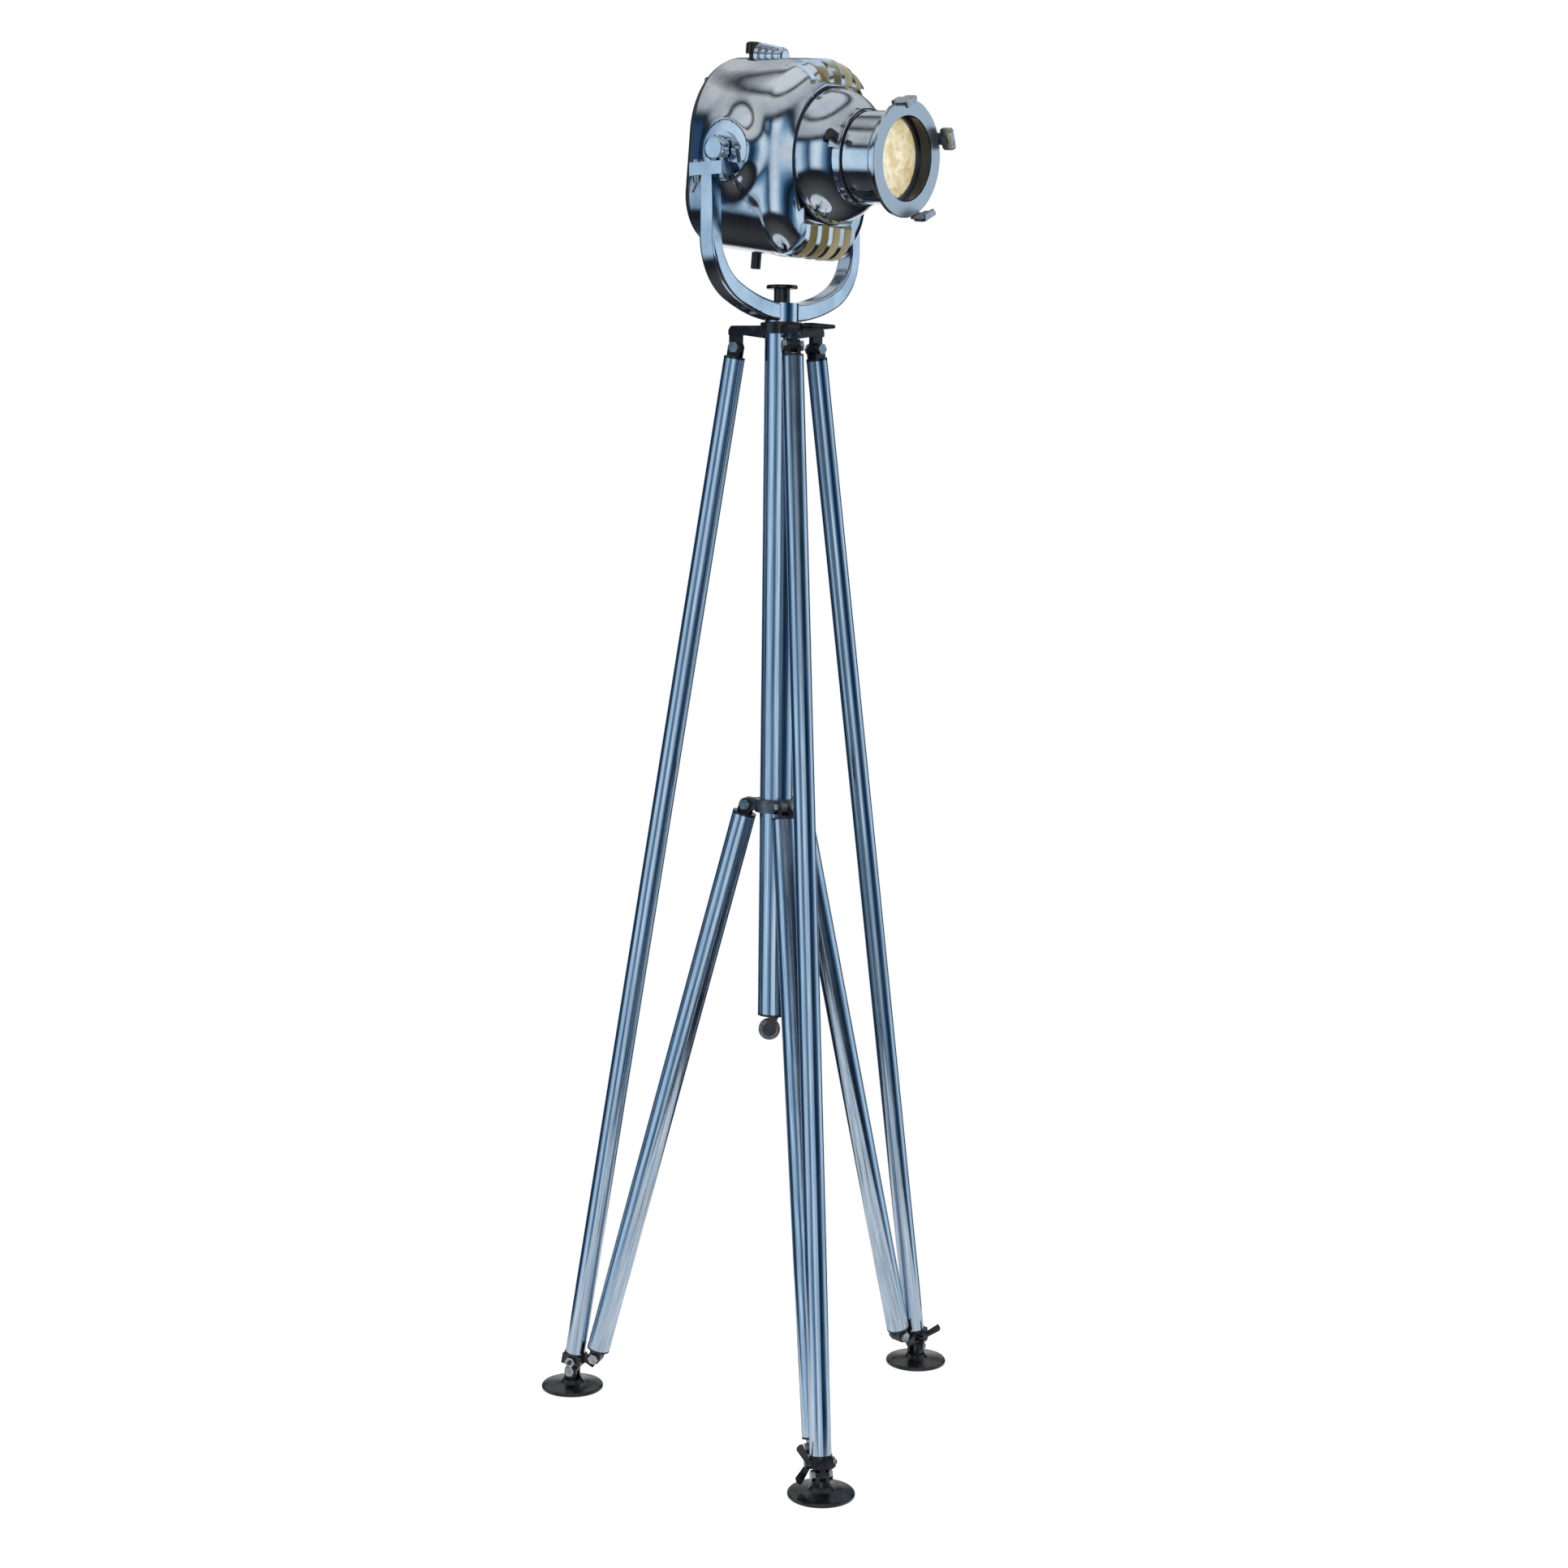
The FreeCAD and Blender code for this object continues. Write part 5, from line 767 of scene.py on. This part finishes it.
screws = bmesh.new()
slots = bmesh.new()
for across, rise, turn_degrees in (
        (-SCREW_ACROSS, SCREW_ROOF, 20), (SCREW_ACROSS, SCREW_ROOF, 75),
        (-SCREW_ACROSS, -SCREW_FLOOR, 130), (SCREW_ACROSS, -SCREW_FLOOR, 48)):
    head = bmesh.ops.create_cone(screws, cap_ends=True, segments=32, radius1=HEAD_RADIUS,
                                 radius2=HEAD_RADIUS, depth=HEAD_HEIGHT)
    bmesh.ops.translate(screws, verts=head["verts"], vec=(0, 0, HEAD_HEIGHT / 2 - SCREW_SINK))
    head_vertices = set(head["verts"])
    rim = [edge for edge in screws.edges if head_vertices.issuperset(edge.verts)
           and all(vertex.co.z > HEAD_HEIGHT / 2 for vertex in edge.verts)]
    rounded = bmesh.ops.bevel(screws, geom=rim, offset=RIM_RADIUS, offset_type="OFFSET",
                              affect="EDGES", segments=3, profile=0.5, material=-1)
    own = {vertex for face in rounded["faces"] for vertex in face.verts}
    own |= {vertex for vertex in head["verts"] if vertex.is_valid}
    bmesh.ops.transform(screws, matrix=screw_place(across, rise, turn_degrees), verts=list(own))
    slot = bmesh.ops.create_cube(slots, size=1.0)
    bmesh.ops.scale(slots, verts=slot["verts"], vec=(3 * HEAD_RADIUS, SLOT_WIDTH, 2 * SLOT_DEPTH))
    bmesh.ops.translate(slots, verts=slot["verts"], vec=(0, 0, HEAD_HEIGHT - SCREW_SINK))
    bmesh.ops.transform(slots, matrix=screw_place(across, rise, turn_degrees), verts=slot["verts"])
bmesh.ops.recalc_face_normals(screws, faces=screws.faces)
bmesh.ops.recalc_face_normals(slots, faces=slots.faces)
slot_data = bpy.data.meshes.new("screw_slots")
slots.to_mesh(slot_data)
slots.free()
slot_cutter = bpy.data.objects.new("screw_slots", slot_data)
bpy.context.scene.collection.objects.link(slot_cutter)
cover_screws = finish_piece(screws, "cover_screws", "head", plated_steel)
slotting = cover_screws.modifiers.new("slots", "BOOLEAN")
slotting.operation = "DIFFERENCE"
slotting.solver = "EXACT"
slotting.object = slot_cutter
bpy.context.view_layer.update()
depsgraph = bpy.context.evaluated_depsgraph_get()
slotted = bpy.data.meshes.new_from_object(cover_screws.evaluated_get(depsgraph))
cover_screws.modifiers.clear()
cover_screws.data = slotted
bpy.data.objects.remove(slot_cutter)
print("cover screws:", len(slotted.polygons), "faces after slotting")

# %% [markdown]
# Every CAD node now gets its finish. Its mesh stays as it is, and only the material slots change.

# %% Dress the CAD nodes
finishes = {}
for finish, dressed in (
        (house, ["lamp_house"]),
        (tube_metal, ["lens_tube"]),
        (cast_aluminium, ["nose_casting", "roof_cap"]),
        (yoke_aluminium, ["yoke", "yoke_spigot", "trunnion_bracket_left", "trunnion_bracket_right",
                          "tilt_knob_left", "tilt_knob_right"]),
        (plated_steel, ["frame_clips", "trunnion_bolts", "trunnion_wing_left",
                        "trunnion_wing_right", "tilt_studs", "tilt_washers", "lens_ring",
                        "hub_bolts", "collar_bolts"]),
        (enamel, ["pan_knob", "hub_spider", "hub_lock_screw", "mast_end_plug", "castor_fork"]),
        (moulded_black, ["roof_screw_knob", "focus_knob", "cord_gland", "castor_hub"]),
        (satin_black, ["rear_cover"]),
        (die_cast, ["mid_collar"]),
        (grey_rubber, ["castor_tyre"]),
        (ceramic, ["lamp_holder"]),
        (spun_mirror, ["reflector"]),
        (lens_glass, ["lens"]),
        (bulb_glass, ["bulb"])):
    finishes.update(dict.fromkeys(dressed, finish))
for side in SIDES:
    for black_node in ("leg_fork", "brace_forks", "foot_bracket", "foot_disc", "wing_screw"):
        finishes[f"{black_node}_{side}"] = enamel
    finishes[f"foot_bolts_{side}"] = plated_steel
finishes.update(tube_finishes)
for node_name, node in nodes.items():
    if not node.material_slots:
        node.data.materials.append(None)
    for material_slot in node.material_slots:
        material_slot.material = finishes[node_name]
print("nodes dressed:", len(finishes), "left plain:", sorted(set(nodes) - set(finishes)))

# %% [markdown]
# The studio: a pale floor, a white backdrop and soft light. Polished metal shows only what stands
# around it, so the world also holds what a photographer puts round such a lamp: bright strips
# between dark ones. Light Path tells the rays apart: the camera sees plain white, diffuse surfaces
# get an even light, and only mirror rays see the strips.

# %% World
world = bpy.data.worlds.new("studio")
bpy.context.scene.world = world
world.use_nodes = True
world_tree = world.node_tree
world_tree.nodes.clear()
direction = add_node(world_tree, "ShaderNodeTexCoord").outputs["Generated"]
around = add_node(world_tree, "ShaderNodeTexGradient", links={"Vector": direction},
                  gradient_type="RADIAL")
strips = add_node(world_tree, "ShaderNodeValToRGB", links={"Fac": around.outputs["Fac"]})
WINDOW, BRIGHT, HAZE, SLATE, DARK = "DCF0FF", "FFFFFF", "86A8C4", "2F4F6C", "0F1A26"
set_ramp(strips, [(place, colour(shade)) for place, shade in (
    (0.0, HAZE), (0.04, WINDOW), (0.09, WINDOW), (0.13, HAZE), (0.17, SLATE), (0.205, WINDOW),
    (0.24, BRIGHT), (0.27, WINDOW), (0.30, HAZE), (0.34, SLATE), (0.38, DARK), (0.44, SLATE),
    (0.48, HAZE), (0.51, WINDOW), (0.575, WINDOW), (0.61, DARK), (0.67, DARK), (0.71, BRIGHT),
    (0.79, BRIGHT), (0.83, SLATE), (0.90, DARK), (0.96, SLATE))])
height = add_node(world_tree, "ShaderNodeSeparateXYZ", links={"Vector": direction}).outputs["Z"]
level = add_node(world_tree, "ShaderNodeMapRange", {"From Min": -1.0, "From Max": 1.0},
                 {"Value": height})
layers = add_node(world_tree, "ShaderNodeValToRGB", links={"Fac": level.outputs["Result"]})
set_ramp(layers, [(place, colour(shade)) for place, shade in (
    (0.0, "6A6866"), (0.2, "2A2A2E"), (0.3, DARK), (0.62, DARK), (0.68, "3A444F"), (0.74, "C4C7CA"),
    (0.86, "D8D8D6"), (0.9, "2A2E36"), (0.94, "E4E6E8"))])
ring_share = add_node(world_tree, "ShaderNodeValToRGB", links={"Fac": level.outputs["Result"]})
set_ramp(ring_share, [(place, (share, share, share, 1.0)) for place, share in (
    (0.26, 0.0), (0.32, 1.0), (0.60, 1.0), (0.66, 0.0))])
seen_in_metal = add_node(world_tree, "ShaderNodeMix", links={
    "Factor": ring_share.outputs["Color"], COLOUR_A: layers.outputs["Color"],
    COLOUR_B: strips.outputs["Color"]},
    data_type="RGBA")
light_path = add_node(world_tree, "ShaderNodeLightPath")
even_light = add_node(world_tree, "ShaderNodeBackground",
                      {"Color": colour("EEF2F6"), "Strength": 0.55})
mirror_light = add_node(world_tree, "ShaderNodeBackground", {"Strength": 1.0},
                        {"Color": seen_in_metal.outputs[MIXED_COLOUR]})
backdrop = add_node(world_tree, "ShaderNodeBackground",
                    {"Color": colour("FFFFFF"), "Strength": 1.0})
for_metal = add_node(world_tree, "ShaderNodeMixShader", links={
    "Fac": light_path.outputs["Is Glossy Ray"], 1: even_light.outputs[0],
    2: mirror_light.outputs[0]})
clear_rays = add_node(world_tree, "ShaderNodeMath", links={
    0: light_path.outputs["Is Camera Ray"], 1: light_path.outputs["Is Transmission Ray"]},
    operation="MAXIMUM")
for_camera = add_node(world_tree, "ShaderNodeMixShader", links={
    "Fac": clear_rays.outputs["Value"], 1: for_metal.outputs[0], 2: backdrop.outputs[0]})
add_node(world_tree, "ShaderNodeOutputWorld", links={"Surface": for_camera.outputs[0]})
print("world nodes:", len(world_tree.nodes))

# %% [markdown]
# The floor is a pale sheet whose colour reaches the backdrop's white, so no horizon shows, and it
# still takes the lamp's soft shadow. It is a disc, so that the legs' mirror rays pass its edge and
# find the strips.

# %% Floor
FLOOR_RADIUS = 0.62
floor_mesh = bmesh.new()
bmesh.ops.create_circle(floor_mesh, cap_ends=True, segments=96, radius=FLOOR_RADIUS)
floor_data = bpy.data.meshes.new("studio_floor")
floor_mesh.to_mesh(floor_data)
floor_mesh.free()
floor = bpy.data.objects.new("studio_floor", floor_data)
bpy.context.scene.collection.objects.link(floor)
floor_finish, floor_tree, floor_shader = start_finish("pale_floor")
floor_shader.inputs["Base Color"].default_value = colour("F2F2F2")
floor_shader.inputs["Roughness"].default_value = 0.9
floor_shader.inputs["Emission Color"].default_value = colour("FFFFFF")
floor_path = add_node(floor_tree, "ShaderNodeLightPath")
glow = add_node(floor_tree, "ShaderNodeMath", {1: 0.5}, {0: floor_path.outputs["Is Camera Ray"]},
                operation="MULTIPLY")
floor_tree.links.new(glow.outputs["Value"], floor_shader.inputs["Emission Strength"])
floor_data.materials.append(floor_finish)
print("floor radius:", FLOOR_RADIUS)

# %% [markdown]
# Three large soft lamps: a key to the front left, a weaker fill to the right, and one overhead
# behind for the rims.

# %% Lamps
middle = Vector([(low + high) / 2 for low, high in zip(*cad_box)])
for lamp_name, lamp_place, lamp_size, lamp_power in (
        ("key_softbox", Vector((-2.2, -2.4, 2.6)), 1.4, 60.0),
        ("fill_softbox", Vector((2.6, -1.8, 1.8)), 1.2, 28.0),
        ("rim_softbox", Vector((0.6, 2.4, 3.0)), 1.4, 40.0)):
    lamp_data = bpy.data.lights.new(lamp_name, "AREA")
    lamp_data.size = lamp_size
    lamp_data.energy = lamp_power
    lamp = bpy.data.objects.new(lamp_name, lamp_data)
    lamp.location = lamp_place
    lamp.visible_glossy = False
    lamp.rotation_euler = (middle - lamp_place).to_track_quat("-Z", "Y").to_euler()
    bpy.context.scene.collection.objects.link(lamp)
    print(lamp_name, lamp_power, "W")

# %% [markdown]
# The camera stands where the photographer did: chest high, a little over three metres away, looking
# slightly down.

# %% Camera
CAMERA_PLACE = Vector((0.0331, -3.2991, 1.301))
FOCAL_LENGTH, SENSOR_WIDTH = 58.08, 36.0  # millimetres
PITCH = math.radians(7.36)
YAW, ROLL = 0.003, 0.0116  # radians
forward = Vector((math.sin(YAW) * math.cos(PITCH), math.cos(YAW) * math.cos(PITCH),
                  -math.sin(PITCH)))
level_right = Vector((math.cos(YAW), -math.sin(YAW), 0))
level_up = level_right.cross(forward)
camera_right = math.cos(ROLL) * level_right + math.sin(ROLL) * level_up
camera_up = camera_right.cross(forward)
camera_data = bpy.data.cameras.new("camera")
camera_data.lens = FOCAL_LENGTH
camera_data.sensor_width = SENSOR_WIDTH
camera = bpy.data.objects.new("camera", camera_data)
turn = Matrix((camera_right, camera_up, -forward)).transposed().to_4x4()
camera.matrix_world = Matrix.Translation(CAMERA_PLACE) @ turn
bpy.context.scene.collection.objects.link(camera)
bpy.context.scene.camera = camera
bpy.context.scene.view_settings.view_transform = "Standard"
print("camera at", list(camera.location))
